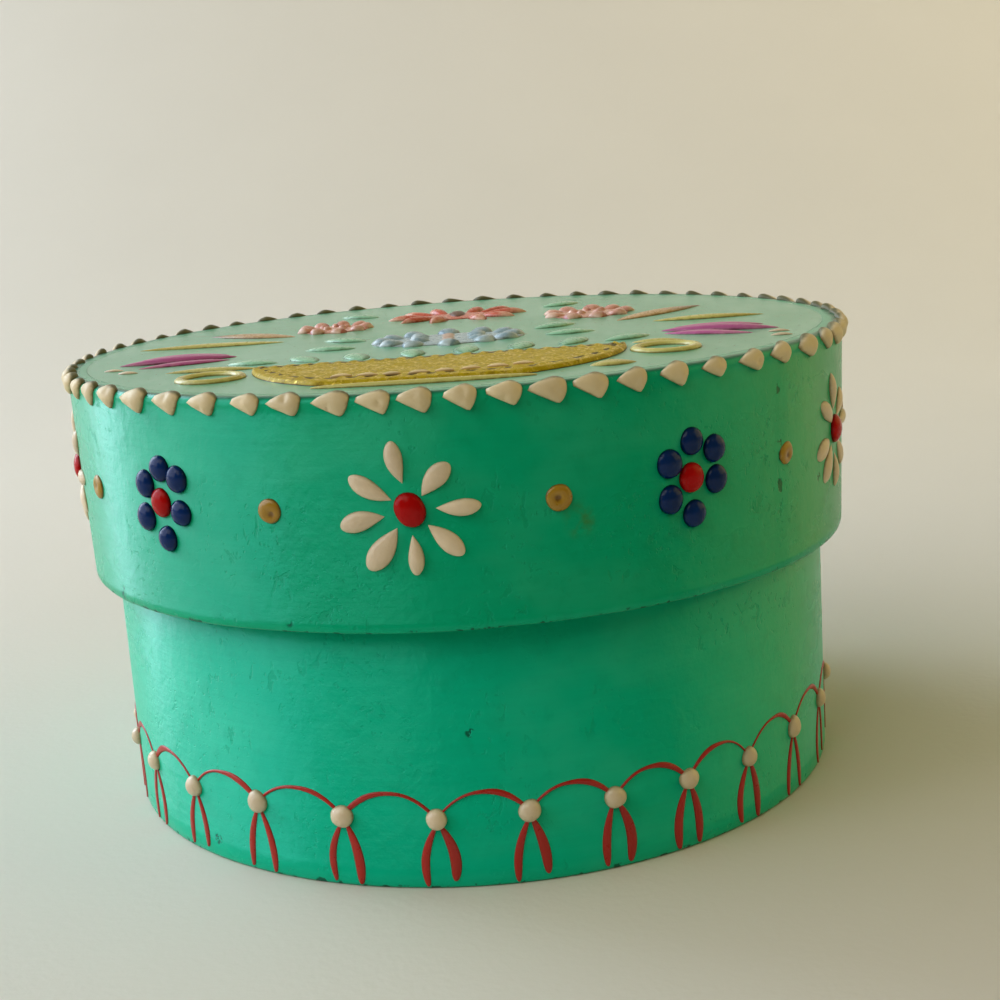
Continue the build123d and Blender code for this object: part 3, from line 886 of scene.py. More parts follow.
class PAINTED_BOX_OT_strips(PaintedBoxOperator, bpy.types.Operator):
    """Bend the lid's strip and the body's strip, with their worn edges"""

    bl_idname = "painted_box.strips"
    bl_label = "Bent strips"

    def execute(self, context):
        settings = self.settings(context)
        strips = settings.strips
        paints = settings.paints
        lid = turned_strip(
            (LID_RADIUS - LID_FLARE - STRIP_WALL, LID_FOOT),
            (LID_RADIUS - LID_FLARE, LID_FOOT),
            (LID_RADIUS, LID_TOP),
            (BOARD_RADIUS, LID_TOP),
            (0.28 * MM, RIM_ROUNDING, 0.06 * MM),
            strips.steps,
        )
        roughen(lid, lid_radius_at, LID_FOOT, strips.edge_wear, strips.lap_angle, strips.lap_step)
        chips = (
            (-57, LID_FOOT + 1.2 * MM, 1.3 * MM),
            (-24, LID_FOOT + 1.1 * MM, 0.9 * MM),
            (57, LID_FOOT + 9 * MM, 0.9 * MM),
        )
        finish = strip_finish(
            "lid_strip_paint", paints.lid_teal, paints, LID_RADIUS, BOARD_RADIUS, LID_FOOT,
            strips.lap_angle, chips,
        )
        finish_piece(lid, "lid_strip", LID, ["lid_band"], "lid_paint", finish)

        body = turned_strip(
            (BODY_INNER_RADIUS, 0.0),
            (BODY_RADIUS, 0.0),
            (BODY_RADIUS, BODY_TOP),
            (BODY_INNER_RADIUS, BODY_TOP),
            (0.4 * MM, 0.45 * MM, 0.4 * MM),
            strips.steps,
        )
        roughen(body, lambda z: BODY_RADIUS, 0.0, 0.0, BODY_SEAM, strips.lap_step)
        chips = ((-2, 18.2 * MM, 0.8 * MM), (-44, 2.4 * MM, 1.0 * MM), (130, 20 * MM, 1.2 * MM))
        finish = strip_finish(
            "body_strip_paint", paints.body_teal, paints, BODY_RADIUS, BODY_INNER_RADIUS, 0.0,
            BODY_SPLIT, chips,
        )
        finish_piece(body, "body_strip", BOX, ["body_band"], "body_paint", finish)
        return {"FINISHED"}


class PAINTED_BOX_OT_boards(PaintedBoxOperator, bpy.types.Operator):
    """Finish the two boards and their pegs"""

    bl_idname = "painted_box.boards"
    bl_label = "Boards and pegs"

    def execute(self, context):
        paints = self.settings(context).paints
        peg_wood = darker(paints.wood, (0.85, 0.78, 0.7))
        finishes = {
            "lid_board": board_finish("lid_board_paint", paints),
            "base_board": wood_finish("base_board_wood", paints.wood, (9.0, 0.8, 1.0)),
            "lid_pegs": wood_finish("peg_wood", peg_wood, (1.0, 1.0, 1.0)),
        }
        finishes["base_pegs"] = finishes["lid_pegs"]
        for node, finish in finishes.items():
            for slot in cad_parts[node].material_slots:
                slot.material = finish
        return {"FINISHED"}


def drop_outline(drops, chance):
    """A rim drop's outline: drawn out to a tail on the left, with a tip that hangs down.

    Each side is given by the way that it faces and its share of the drop's size from the middle.
    """
    size = drops.size * chance.uniform(0.9, 1.08)
    sides = [
        (math.radians(facing + chance.uniform(-5, 5)), size * share * chance.uniform(0.93, 1.07))
        for facing, share in ((112, 0.72), (58, 0.92), (-8, 0.98), (-38, 0.92), (-117, 0.68))
    ]

    def reach(turn):
        total = sum(max(0.0, math.cos(turn - facing) / away) ** 9 for facing, away in sides)
        return total ** (-1 / 9)

    return reach


class PAINTED_BOX_OT_rim_drops(PaintedBoxOperator, bpy.types.Operator):
    """Set the cream drops over the lid's rim"""

    bl_idname = "painted_box.rim_drops"
    bl_label = "Rim drops"

    def execute(self, context):
        settings = self.settings(context)
        drops = settings.drops
        # The drops beside the front stand closer together there, by up to a shift in degrees.
        crowded, shift = 60, 2.8
        chance = random.Random(11)
        mesh = bmesh.new()
        for number in range(drops.count):
            degrees = (number * 360 / drops.count + 180) % 360 - 180
            if abs(degrees) <= crowded:
                degrees -= shift * math.sin(math.pi * degrees / crowded)
            angle = math.radians(degrees + chance.uniform(-0.35, 0.35))
            pit_along = chance.uniform(-0.7, 0.6) * MM
            pit_over = chance.uniform(-0.5, 0.3) * MM
            depth = chance.uniform(0.1, 0.32) * MM
            lean = (chance.uniform(-0.2, 0.3) * MM, chance.uniform(-0.1, 0.3) * MM)

            def dent(along, over):
                gap = math.hypot(along - pit_along, (over - pit_over) * 1.4) / (0.4 * MM)
                return depth * math.exp(-gap * gap)

            rim = rim_patch(angle)

            def place(along, over, out):
                return rim(along + 0.3 * MM, over - drops.hang, out)

            outline = drop_outline(drops, chance)
            relief = drops.relief * chance.uniform(0.8, 1.05)
            blob(mesh, place, outline, relief, chance.random(), dent, lean, sides=32, rings=16)
        # The drops' faces towards the inside of the rim take an olive for grime and painted shade.
        finish = dab_finish(
            "cream_drop_paint", settings.paints.drop, 0.42, edge=0.5, spread=0.1, shine=0.3,
            inside=(srgb(84, 88, 58), LID_RADIUS),
        )
        finish_dabs(mesh, "rim_drop_dabs", LID, ["rim_drops"], "cream_paint", finish)
        return {"FINISHED"}


class PAINTED_BOX_OT_daisies(PaintedBoxOperator, bpy.types.Operator):
    """Paint the daisies round the lid's side"""

    bl_idname = "painted_box.daisies"
    bl_label = "Daisies"

    def execute(self, context):
        settings = self.settings(context)
        flowers = settings.flowers
        chance = random.Random(5)
        petals = bmesh.new()
        hearts = bmesh.new()
        turns = (101, 46, 1, -44, -89, -128, -167, 149)
        middles = (5.2, 4.2, 5.1, 4.9, 4.9, 5.2, 5.3, 4.7)
        lengths = (4.6, 4.5, 4.75, 4.9, 4.4, 5.6, 5.0, 5.1)
        widths = (1.9, 2.4, 1.95, 2.3, 1.8, 2.5, 2.3, 2.1)
        for flower in range(flowers.pairs):
            place = lid_patch(flowers.first_angle + flower * math.tau / flowers.pairs, FLOWER_ROW)
            jitter = 0.0 if flower == 0 else 1.0
            for turn, middle, length, width in zip(turns, middles, lengths, widths):
                lean = math.radians(turn + jitter * chance.uniform(-5, 5))
                middle = (middle + jitter * chance.uniform(-0.3, 0.3)) * MM
                length = (length + jitter * chance.uniform(-0.4, 0.4)) * MM
                bend = chance.uniform(-0.25, 0.25) * MM
                inner = middle - length / 2

                def petal_path(share):
                    along = inner + length * share
                    aside = bend * math.sin(math.pi * share)
                    return (
                        along * math.cos(lean) - aside * math.sin(lean),
                        along * math.sin(lean) + aside * math.cos(lean),
                    )

                wide = scaled(bulge(0.62, 0.95, 0.5), width * MM * chance.uniform(0.94, 1.06))
                high = scaled(bulge(0.6, 0.9, 0.6), flowers.petal_relief * chance.uniform(0.85, 1.15))
                stroke(petals, place, petal_path, wide, high, chance.random(), sides=14, rings=18)
            lean = math.radians(115 + jitter * chance.uniform(-40, 40))
            oval = ellipse(flowers.heart_length / 2, flowers.heart_width / 2)

            def heart_outline(turn):
                return oval(turn - lean)

            blob(hearts, place, uneven(heart_outline, 0.05, flower), flowers.heart_relief, chance.random())
        cream = dab_finish("daisy_petal_paint", settings.paints.cream, 0.36, edge=0.6)
        red = dab_finish("red_heart_paint", settings.paints.red, 0.2, edge=0.4, grit=0.05, shine=0.16)
        finish_dabs(petals, "daisy_petal_dabs", LID, ["daisy_petals"], "cream_paint", cream)
        finish_dabs(hearts, "daisy_heart_dabs", LID, ["daisy_hearts"], "red_gloss", red)
        return {"FINISHED"}


class PAINTED_BOX_OT_blue_flowers(PaintedBoxOperator, bpy.types.Operator):
    """Set the blue dots and their red hearts round the lid's side"""

    bl_idname = "painted_box.blue_flowers"
    bl_label = "Blue flowers"

    def execute(self, context):
        settings = self.settings(context)
        flowers = settings.flowers
        chance = random.Random(8)
        dots = bmesh.new()
        hearts = bmesh.new()
        turns = (88, 40, -12, -86, -144, 146)
        reaches = (3.95, 4.24, 3.54, 4.03, 3.44, 3.38)
        for flower in range(flowers.pairs):
            angle = flowers.first_angle + (flower + 0.5) * math.tau / flowers.pairs
            place = lid_patch(angle, FLOWER_ROW)
            jitter = 0.0 if flower == 0 else 1.0
            for turn, reach in zip(turns, reaches):
                lean = math.radians(turn + jitter * chance.uniform(-6, 6))
                reach = (reach + jitter * chance.uniform(-0.25, 0.25)) * MM
                across = reach * math.cos(lean)
                up = reach * math.sin(lean)

                def dot_place(along, aside, out):
                    return place(across + along, up + aside, out)

                radius = flowers.dot / 2 * chance.uniform(0.95, 1.07)
                outline = uneven(ellipse(radius, radius * chance.uniform(0.98, 1.1)), 0.06, flower + turn)
                blob(dots, dot_place, outline, flowers.dot_relief, chance.random())
            radius = flowers.dot / 2 * 1.04
            outline = uneven(ellipse(radius, radius * 1.05), 0.05, flower + 7)
            blob(hearts, place, outline, flowers.dot_relief * 0.95, chance.random())
        blue = dab_finish("blue_dot_paint", settings.paints.blue, 0.16, edge=0.5, grit=0.04, shine=0.2)
        red = dab_finish("red_dot_paint", settings.paints.red, 0.22, edge=0.45, grit=0.06, shine=0.16)
        finish_dabs(dots, "blue_dot_dabs", LID, ["blue_dots"], "blue_gloss", blue)
        finish_dabs(hearts, "blue_flower_heart_dabs", LID, ["blue_flower_hearts"], "red_gloss", red)
        return {"FINISHED"}


class PAINTED_BOX_OT_ochre_dots(PaintedBoxOperator, bpy.types.Operator):
    """Set the dimpled ochre dots between the flowers"""

    bl_idname = "painted_box.ochre_dots"
    bl_label = "Ochre dots"

    def execute(self, context):
        settings = self.settings(context)
        flowers = settings.flowers
        chance = random.Random(3)
        mesh = bmesh.new()
        for number in range(2 * flowers.pairs):
            angle = flowers.first_angle + (number + 0.5) * math.pi / flowers.pairs
            place = lid_patch(angle, FLOWER_ROW)
            pit = (chance.uniform(-0.3, 0.3) * MM, chance.uniform(-0.3, 0.3) * MM)

            def dent(along, aside):
                gap = math.hypot(along - pit[0], aside - pit[1]) / (0.55 * MM)
                return 0.36 * MM * math.exp(-gap * gap)

            radius = flowers.ochre_dot / 2 * chance.uniform(0.9, 1.1)
            outline = uneven(ellipse(radius, radius), 0.08, number)
            blob(mesh, place, outline, flowers.ochre_relief, chance.random(), dent)
        finish = dab_finish("ochre_dot_paint", settings.paints.ochre, 0.3, edge=0.45, coat=0.2, grit=0.3)
        finish_dabs(mesh, "ochre_dot_dabs", LID, ["ochre_dots"], "ochre_paint", finish)
        return {"FINISHED"}


class PAINTED_BOX_OT_foot_border(PaintedBoxOperator, bpy.types.Operator):
    """Paint the beads, arches and legs round the foot"""

    bl_idname = "painted_box.foot_border"
    bl_label = "Foot border"

    def bead_angle(self, number, count):
        """Where a bead sits: hand-set, so some gaps are wider than others."""
        degrees = -9 + number * 360 / count
        return math.radians(degrees + 1.6 * math.cos(math.radians(3 * (degrees + 5))))

    def execute(self, context):
        settings = self.settings(context)
        border = settings.border
        level = even(border.relief)
        chance = random.Random(21)
        beads = bmesh.new()
        arches = bmesh.new()
        legs = bmesh.new()
        heights = [border.height + chance.uniform(-0.3, 0.3) * MM for _ in range(border.count)]
        for number in range(border.count):
            angle = self.bead_angle(number, border.count)
            place = body_patch(angle, heights[number])
            radius = border.bead / 2 * chance.uniform(0.88, 1.08)
            outline = uneven(ellipse(radius, radius * chance.uniform(0.95, 1.1)), 0.09, number)
            blob(beads, place, outline, border.bead_relief * chance.uniform(0.9, 1.05), chance.random())

            following = self.bead_angle(number + 1, border.count)
            span = (following - angle) * BODY_RADIUS
            climb = heights[(number + 1) % border.count] - heights[number]
            rise = border.rise * chance.uniform(0.88, 1.1)
            lean = chance.uniform(-0.12, 0.12)

            def arch_path(share):
                bow = 1 - abs(2 * share - 1) ** 2.3
                return (span * share, climb * share + rise * bow * (1 + lean * (share - 0.5)))

            heavy = chance.choice((0.22, 0.3, 0.7, 0.78))
            thick = border.stroke * chance.uniform(0.75, 1.15)
            thin = chance.uniform(0.32, 0.6)

            def arch_width(share):
                return thick * (thin + (1 - thin) * math.exp(-(((share - heavy) / 0.24) ** 2)))

            stroke(arches, place, arch_path, arch_width, level, chance.random(), rings=26, sides=8)

            for side in (-1, 1):
                foot = side * chance.uniform(1.2, 1.7) * MM
                bow = side * chance.uniform(0.35, 0.75) * MM
                top = side * chance.uniform(0.1, 0.4) * MM
                drop = -(heights[number] - chance.choice((0.3, 0.3, 0.35, 0.5, 0.9)) * MM)

                def leg_path(share):
                    return (
                        top + (foot - top) * share ** 0.9 + bow * math.sin(math.pi * share),
                        drop * (0.1 + 0.9 * share),
                    )

                wide = scaled(bulge(0.62, 0.45, 0.32), border.leg * chance.uniform(0.8, 1.15))
                stroke(legs, place, leg_path, wide, level, chance.random(), rings=20, sides=8)
        paints = settings.paints
        cream = dab_finish("bead_paint", paints.cream, 0.3, edge=0.6, coat=0.15)
        red = dab_finish("red_stroke_paint", paints.stroke_red, 0.3, edge=0.7, grit=0.2)
        finish_dabs(beads, "foot_bead_dabs", BOX, ["foot_beads"], "cream_paint", cream)
        finish_dabs(arches, "foot_arch_strokes", BOX, ["foot_arches"], "red_paint", red)
        finish_dabs(legs, "foot_leg_strokes", BOX, ["foot_legs"], "red_paint", red)
        return {"FINISHED"}


def bow(start, middle, end, share):
    """A point on the even curve through three points."""
    first = (1 - share) * (1 - 2 * share)
    second = 4 * share * (1 - share)
    third = share * (2 * share - 1)
    return start * first + middle * second + end * third


def basket_sides():
    """The basket's brim and floor lines as paths, in hundredths of the board's radius."""
    left, right = Vector((-51, -48)), Vector((42, -50))
    left_foot, right_foot = Vector((-33, -83)), Vector((16, -87))

    def brim(share):
        return left.lerp(right, share)

    def floor(share):
        if share < 0.28:
            return bow(left, Vector((-46, -67)), left_foot, share / 0.28)
        if share > 0.72:
            return bow(right_foot, Vector((35, -71)), right, (share - 0.72) / 0.28)
        return bow(left_foot, Vector((-8, -87)), right_foot, (share - 0.28) / 0.44)

    return brim, floor


class PAINTED_BOX_OT_basket(PaintedBoxOperator, bpy.types.Operator):
    """Lay the glittering basket with its stitches, foot line and handles"""

    bl_idname = "painted_box.basket"
    bl_label = "Basket"

    def execute(self, context):
        settings = self.settings(context)
        picture = settings.picture
        paints = settings.paints
        chance = random.Random(17)
        brim, floor = basket_sides()

        mesh = bmesh.new()
        rise_layer, along_layer, aside_layer, shaded_gap_layer = paint_layers(mesh)
        bmesh.ops.create_grid(mesh, x_segments=110, y_segments=44, size=0.5)
        walls = bmesh.ops.extrude_face_region(mesh, geom=mesh.faces[:])
        lower = set(vert for vert in walls["geom"] if isinstance(vert, bmesh.types.BMVert))
        for vert in mesh.verts:
            share = vert.co.x + 0.5
            down = 0.5 - vert.co.y
            spot = brim(share).lerp(floor(share), down) * UNIT
            depth = (brim(share) - floor(share)).length
            edge = min(down, 1 - down) * depth / 1.5
            ends = min(share, 1 - share) * 40
            crown = math.sin(math.pi / 2 * min(1.0, edge, ends)) ** 0.6
            # Rows of dips along the brim and above the floor; the finish paints shade into the dips, under
            # the stitches as their shadows.
            dash = 0.5 + 0.5 * math.sin(share * 150 + 2 * noise.noise(Vector((share * 30, 0, 1))))
            brim_row = math.exp(-(((down * depth - 2.6) / 1.5) ** 2))
            foot_row = math.exp(-((((1 - down) * depth - 5.0) / 1.2) ** 2))
            rows = brim_row + foot_row
            lumps = noise.noise(Vector((spot.x, spot.y, 0)) / (0.9 * MM))
            fine = noise.noise(Vector((spot.x, spot.y, 3)) / (0.4 * MM))
            height = picture.basket_relief * (0.72 + rows * (0.2 - 0.3 * dash) + 0.13 * lumps + 0.08 * fine)
            out = -0.15 * MM if vert in lower else height * crown
            vert.co = Vector((spot.x, spot.y, LID_TOP + out))
            vert[rise_layer] = 0.0 if vert in lower else crown
            vert[along_layer] = share
            vert[aside_layer] = down
            vert[shaded_gap_layer] = rows * dash
        bmesh.ops.remove_doubles(mesh, verts=mesh.verts, dist=0.002 * MM)
        # The deep olive-brown is painted shade, for the gaps and the basket's foot.
        gold = glitter_finish("glitter_gold_paint", paints.gold, srgb(58, 46, 4))
        finish_dabs(mesh, "basket_relief", LID, ["basket"], "gold_paint", gold)

        mesh = bmesh.new()
        for number in range(8):
            along = number / 7
            x = -27 + 42 * along
            y = -78 - 3 * math.sin(math.pi * along)
            place = top_patch(x - 2.4, y, chance.uniform(-5, 5), picture.basket_relief * 0.85)
            path = straight(chance.uniform(4.2, 5.2) * UNIT, 0.1 * MM)
            shape = bulge(0.5, 0.6, 0.6)
            wide, high = scaled(shape, 1.3 * UNIT), scaled(shape, picture.stitch_relief)
            stroke(mesh, place, path, wide, high, chance.random(), sink=0.35 * MM)
        cream = dab_finish("stitch_paint", srgb(240, 218, 172), 0.4, edge=0.7, shine=0.3)
        finish_dabs(mesh, "basket_stitch_dabs", LID, ["basket_stitches"], "cream_paint", cream)

        line, loop_radius = 2.6, 7.4
        mesh = bmesh.new()
        place = top_patch(0, 0)
        foot_ends = (Vector((-33.5, -86.6)), Vector((-8, -90.3)), Vector((17.5, -90.2)))

        def foot_path(share):
            return bow(*foot_ends, share) * UNIT

        wide = scaled(bulge(0.6, 0.35, 0.3), line * UNIT)
        high = scaled(bulge(0.5, 0.3, 0.3), picture.line_relief)
        stroke(mesh, place, foot_path, wide, high, 0.6, rings=48)
        yellow = dab_finish("yellow_line_paint", paints.yellow, 0.26, edge=0.45, coat=0.15)
        finish_dabs(mesh, "basket_foot_line", LID, ["basket_foot"], "yellow_paint", yellow)

        mesh = bmesh.new()
        for x, y in ((-60, -57.5), (50.5, -60)):
            place = top_patch(x, y)
            for half in (1, -1):

                def loop_path(share):
                    turn = half * math.pi * share
                    return (loop_radius * UNIT * math.cos(turn), loop_radius * UNIT * math.sin(turn))

                wide, high = even(line * UNIT), even(picture.line_relief)
                stroke(mesh, place, loop_path, wide, high, chance.random(), rings=28)
        finish_dabs(mesh, "basket_handle_loops", LID, ["basket_handles"], "yellow_paint", yellow)
        return {"FINISHED"}


def leaf(mesh, x, y, turn, length, width, relief, chance, full_at=0.45):
    """A leaf or petal on the lid's top, from its place, turn, length and width as drawn there.

    Places and sizes are in hundredths of the board's radius and turns in degrees. Its second
    paint lies along the side that is farther from the front.
    """
    facing = 1 if math.cos(math.radians(turn)) > 0 else -1
    path = straight(length * UNIT, chance.uniform(-0.016, 0.016) * length * UNIT)
    wide = scaled(bulge(full_at, 0.65, 0.8), width * UNIT)
    high = scaled(bulge(full_at + 0.05, 0.7, 0.75), relief * chance.uniform(0.88, 1.04))
    rings = 14 if length < 20 else 24
    stroke(mesh, top_patch(x, y, turn), path, wide, high, chance.random(), rings=rings, flip=facing)


def petals_round(mesh, x, y, inner, length, width, count, relief, chance, stretch=1.0, first_turn=0.0):
    """Petals that point away from a place, the ring drawn wider than it is deep by a stretch."""
    for number in range(count):
        turn = math.radians(first_turn + number * 360 / count)
        start_x = x + inner * stretch * math.cos(turn)
        start_y = y + inner * math.sin(turn)
        away = math.degrees(math.atan2(math.sin(turn), stretch * math.cos(turn)))
        size = chance.uniform(0.94, 1.03)
        away += chance.uniform(-4, 4)
        leaf(mesh, start_x, start_y, away, length * size, width * size, relief, chance, 0.6)


def wash(mesh, x, y, along, aside, relief, chance):
    """A low pool of paint under a bloom's petals, in hundredths of the board's radius.

    It is all of one paint, so its places along and aside are the same all over.
    """
    outline = uneven(ellipse(along * UNIT, aside * UNIT), 0.1, x + y)
    before = len(mesh.verts)
    blob(mesh, top_patch(x, y), outline, relief, chance.uniform(0.5, 1.0), sink=0.1 * MM, sides=40)
    mesh.verts.ensure_lookup_table()
    _, along_layer, aside_layer, _ = paint_layers(mesh)
    for vert in mesh.verts[before:]:
        vert[along_layer] = vert[aside_layer] = 0.4


class PAINTED_BOX_OT_blooms(PaintedBoxOperator, bpy.types.Operator):
    """Lay the blooms of the basket"""

    bl_idname = "painted_box.blooms"
    bl_label = "Blooms"

    def execute(self, context):
        settings = self.settings(context)
        picture = settings.picture
        relief = picture.bloom_relief
        paints = settings.paints
        chance = random.Random(29)

        rose = bmesh.new()
        wash(rose, -2, -8, 21, 12.5, picture.wash_relief, chance)
        petals_round(rose, -2, -8, 8.5, 7.5, 6.4, 12, relief, chance, 1.6)
        for facing, turn in ((-1, 180), (1, 0)):
            for side in (-1, 0, 1):
                x, y = -2 + facing * 4.4, -8 + side * 4.4
                leaf(rose, x, y, turn + facing * side * 9, 6.4, 4.0, relief, chance, 0.6)
        blue = dab_finish("pale_blue_petal_paint", paints.pale_blue, 0.28, 0.72, 0.1,
                          tip=srgb(190, 204, 204), side=srgb(106, 138, 160))
        finish_dabs(rose, "blue_rose_petals", LID, ["blue_rose"], "pale_blue_paint", blue)

        stamens = bmesh.new()
        over_wash = picture.speck_relief + picture.wash_relief
        for number in range(4):
            leaf(stamens, -4.8, -13.1 + 3.4 * number, 0, 5.4, 2, over_wash, chance, 0.5)
        pale_pink = dab_finish("pale_pink_stamen_paint", srgb(222, 196, 178), 0.3, 0.5)
        finish_dabs(stamens, "rose_stamen_dabs", LID, ["rose_stamens"], "pink_paint", pale_pink)

        pinks = bmesh.new()
        for x, y, size in ((-36, 38, 0.9), (40, 33, 1.05)):
            wash(pinks, x, y, 11.5 * size, 11 * size, picture.wash_relief, chance)
            petals_round(pinks, x, y, 6.6 * size, 6.6 * size, 5.6 * size, 9, relief, chance)
            petals_round(pinks, x, y, 1.6 * size, 4.4 * size, 3 * size, 5, relief, chance, 1.0, 20)
        pink = dab_finish("pink_petal_paint", paints.pink, 0.28, 0.6, 0.1,
                          tip=srgb(226, 190, 166), side=srgb(170, 72, 76))
        finish_dabs(pinks, "pink_rose_petals", LID, ["pink_roses"], "pink_paint", pink)

        carnation = bmesh.new()
        wash(carnation, 1, 52, 17, 9, picture.wash_relief, chance)
        for facing, turn in ((-1, 180), (1, 0)):
            for splay, length in ((-64, 11), (-32, 13), (0, 14), (32, 13), (64, 11)):
                away = turn + facing * splay
                x = 1 + 7.5 * math.cos(math.radians(away))
                y = 52 + 6.5 * math.sin(math.radians(away))
                leaf(carnation, x, y, away, length, 4.7, relief, chance, 0.6)
        coral = dab_finish("coral_petal_paint", paints.coral, 0.28, 0.6, 0.1,
                           tip=srgb(226, 178, 148), side=srgb(168, 30, 20))
        finish_dabs(carnation, "carnation_petals", LID, ["red_carnation"], "coral_paint", coral)

        cup = bmesh.new()
        leaf(cup, 1, 58.5, -90, 13, 5.6, relief, chance, 0.4)
        brown = dab_finish("carnation_cup_paint", paints.brown, 0.3)
        finish_dabs(cup, "carnation_cup_dab", LID, ["carnation_cup"], "brown_paint", brown)
        return {"FINISHED"}


class PAINTED_BOX_OT_tulips(PaintedBoxOperator, bpy.types.Operator):
    """Lay the long tulips at the sides of the basket"""

    bl_idname = "painted_box.tulips"
    bl_label = "Tulips"

    def execute(self, context):
        settings = self.settings(context)
        picture = settings.picture
        chance = random.Random(2)
        mesh = bmesh.new()
        for x, y, turn in ((-59, -14, 188), (54, -25, -19)):
            along = Vector((math.cos(math.radians(turn)), math.sin(math.radians(turn))))
            aside = Vector((-along.y, along.x))
            leaf(mesh, x, y, turn, 31, 6.2, picture.bloom_relief, chance)
            for side in (-1, 1):
                start = Vector((x, y)) + along * 2 + aside * (5.6 * side)
                leaf(mesh, start.x, start.y, turn + side * 9, 24, 4.6, picture.leaf_relief, chance)
        finish = dab_finish("magenta_petal_paint", settings.paints.magenta, 0.24, 0.4, 0.2,
                            tip=srgb(196, 122, 150), side=srgb(104, 14, 76))
        finish_dabs(mesh, "tulip_petals", LID, ["magenta_tulips"], "magenta_paint", finish)
        return {"FINISHED"}


class PAINTED_BOX_OT_leaves(PaintedBoxOperator, bpy.types.Operator):
    """Lay the leaves round the blooms and the pale specks by the rim"""

    bl_idname = "painted_box.leaves"
    bl_label = "Leaves"

    def lay(self, leaves, relief, chance):
        """Leaves from places, turns, lengths and widths in hundredths of the board's radius."""
        mesh = bmesh.new()
        for x, y, turn, length, width in leaves:
            leaf(mesh, x, y, turn, length, width, relief, chance)
        return mesh

    def execute(self, context):
        settings = self.settings(context)
        picture = settings.picture
        paints = settings.paints
        relief = picture.leaf_relief
        chance = random.Random(41)
        tan = self.lay(((-47, 26, 150, 31, 7.6), (46, 8, 43, 38, 7.6)), relief, chance)
        finish = dab_finish("tan_leaf_paint", paints.tan, 0.28, 0.45, 0.12,
                            tip=srgb(92, 64, 30), side=srgb(128, 82, 32))
        finish_dabs(tan, "tan_leaf_strokes", LID, ["tan_leaves"], "tan_paint", finish)
        yellow = self.lay(
            (
                (-49, 14, 176, 42, 5.4), (55, 0, -3, 31, 5.4), (-50, -42.5, 174, 24, 4.4),
                (44, -45, -20, 15, 3.4), (30, -82, 8, 11, 6.2),
            ),
            relief, chance,
        )
        finish = dab_finish("yellow_leaf_paint", paints.yellow, 0.28, 0.42, 0.12,
                            tip=srgb(178, 160, 62), side=srgb(110, 112, 26))
        finish_dabs(yellow, "yellow_leaf_strokes", LID, ["yellow_leaves"], "yellow_paint", finish)
        mint = self.lay(
            tuple(
                (x, y, turn, 14, 6.8)
                for x, y, turn in (
                    (-46, -34, 165), (-36, -38, 120), (-24, -41, 105), (-11, -42, 95), (2, -42, 85),
                    (15, -42, 75), (27, -40, 60), (38, -37, 28), (-27, -14, 172), (-25, 1, 150),
                    (24, -14, 8), (22, 2, 30), (-24, 66, 150), (28, 62, 30),
                )
            ),
            relief, chance,
        )
        finish = dab_finish("mint_leaf_paint", paints.mint, 0.28, 0.45, 0.12,
                            tip=srgb(172, 214, 180), side=srgb(78, 140, 104))
        finish_dabs(mint, "mint_leaf_strokes", LID, ["mint_leaves"], "mint_paint", finish)
        specks = self.lay(
            tuple((x, y, -10, 5.5, 2) for x, y in ((-92, -27), (-87, -34), (79, -42), (78, -50))),
            picture.speck_relief, chance,
        )
        finish = dab_finish("pale_speck_paint", paints.cream, 0.35, edge=0.35)
        finish_dabs(specks, "pale_speck_strokes", LID, ["pale_specks"], "cream_paint", finish)
        return {"FINISHED"}


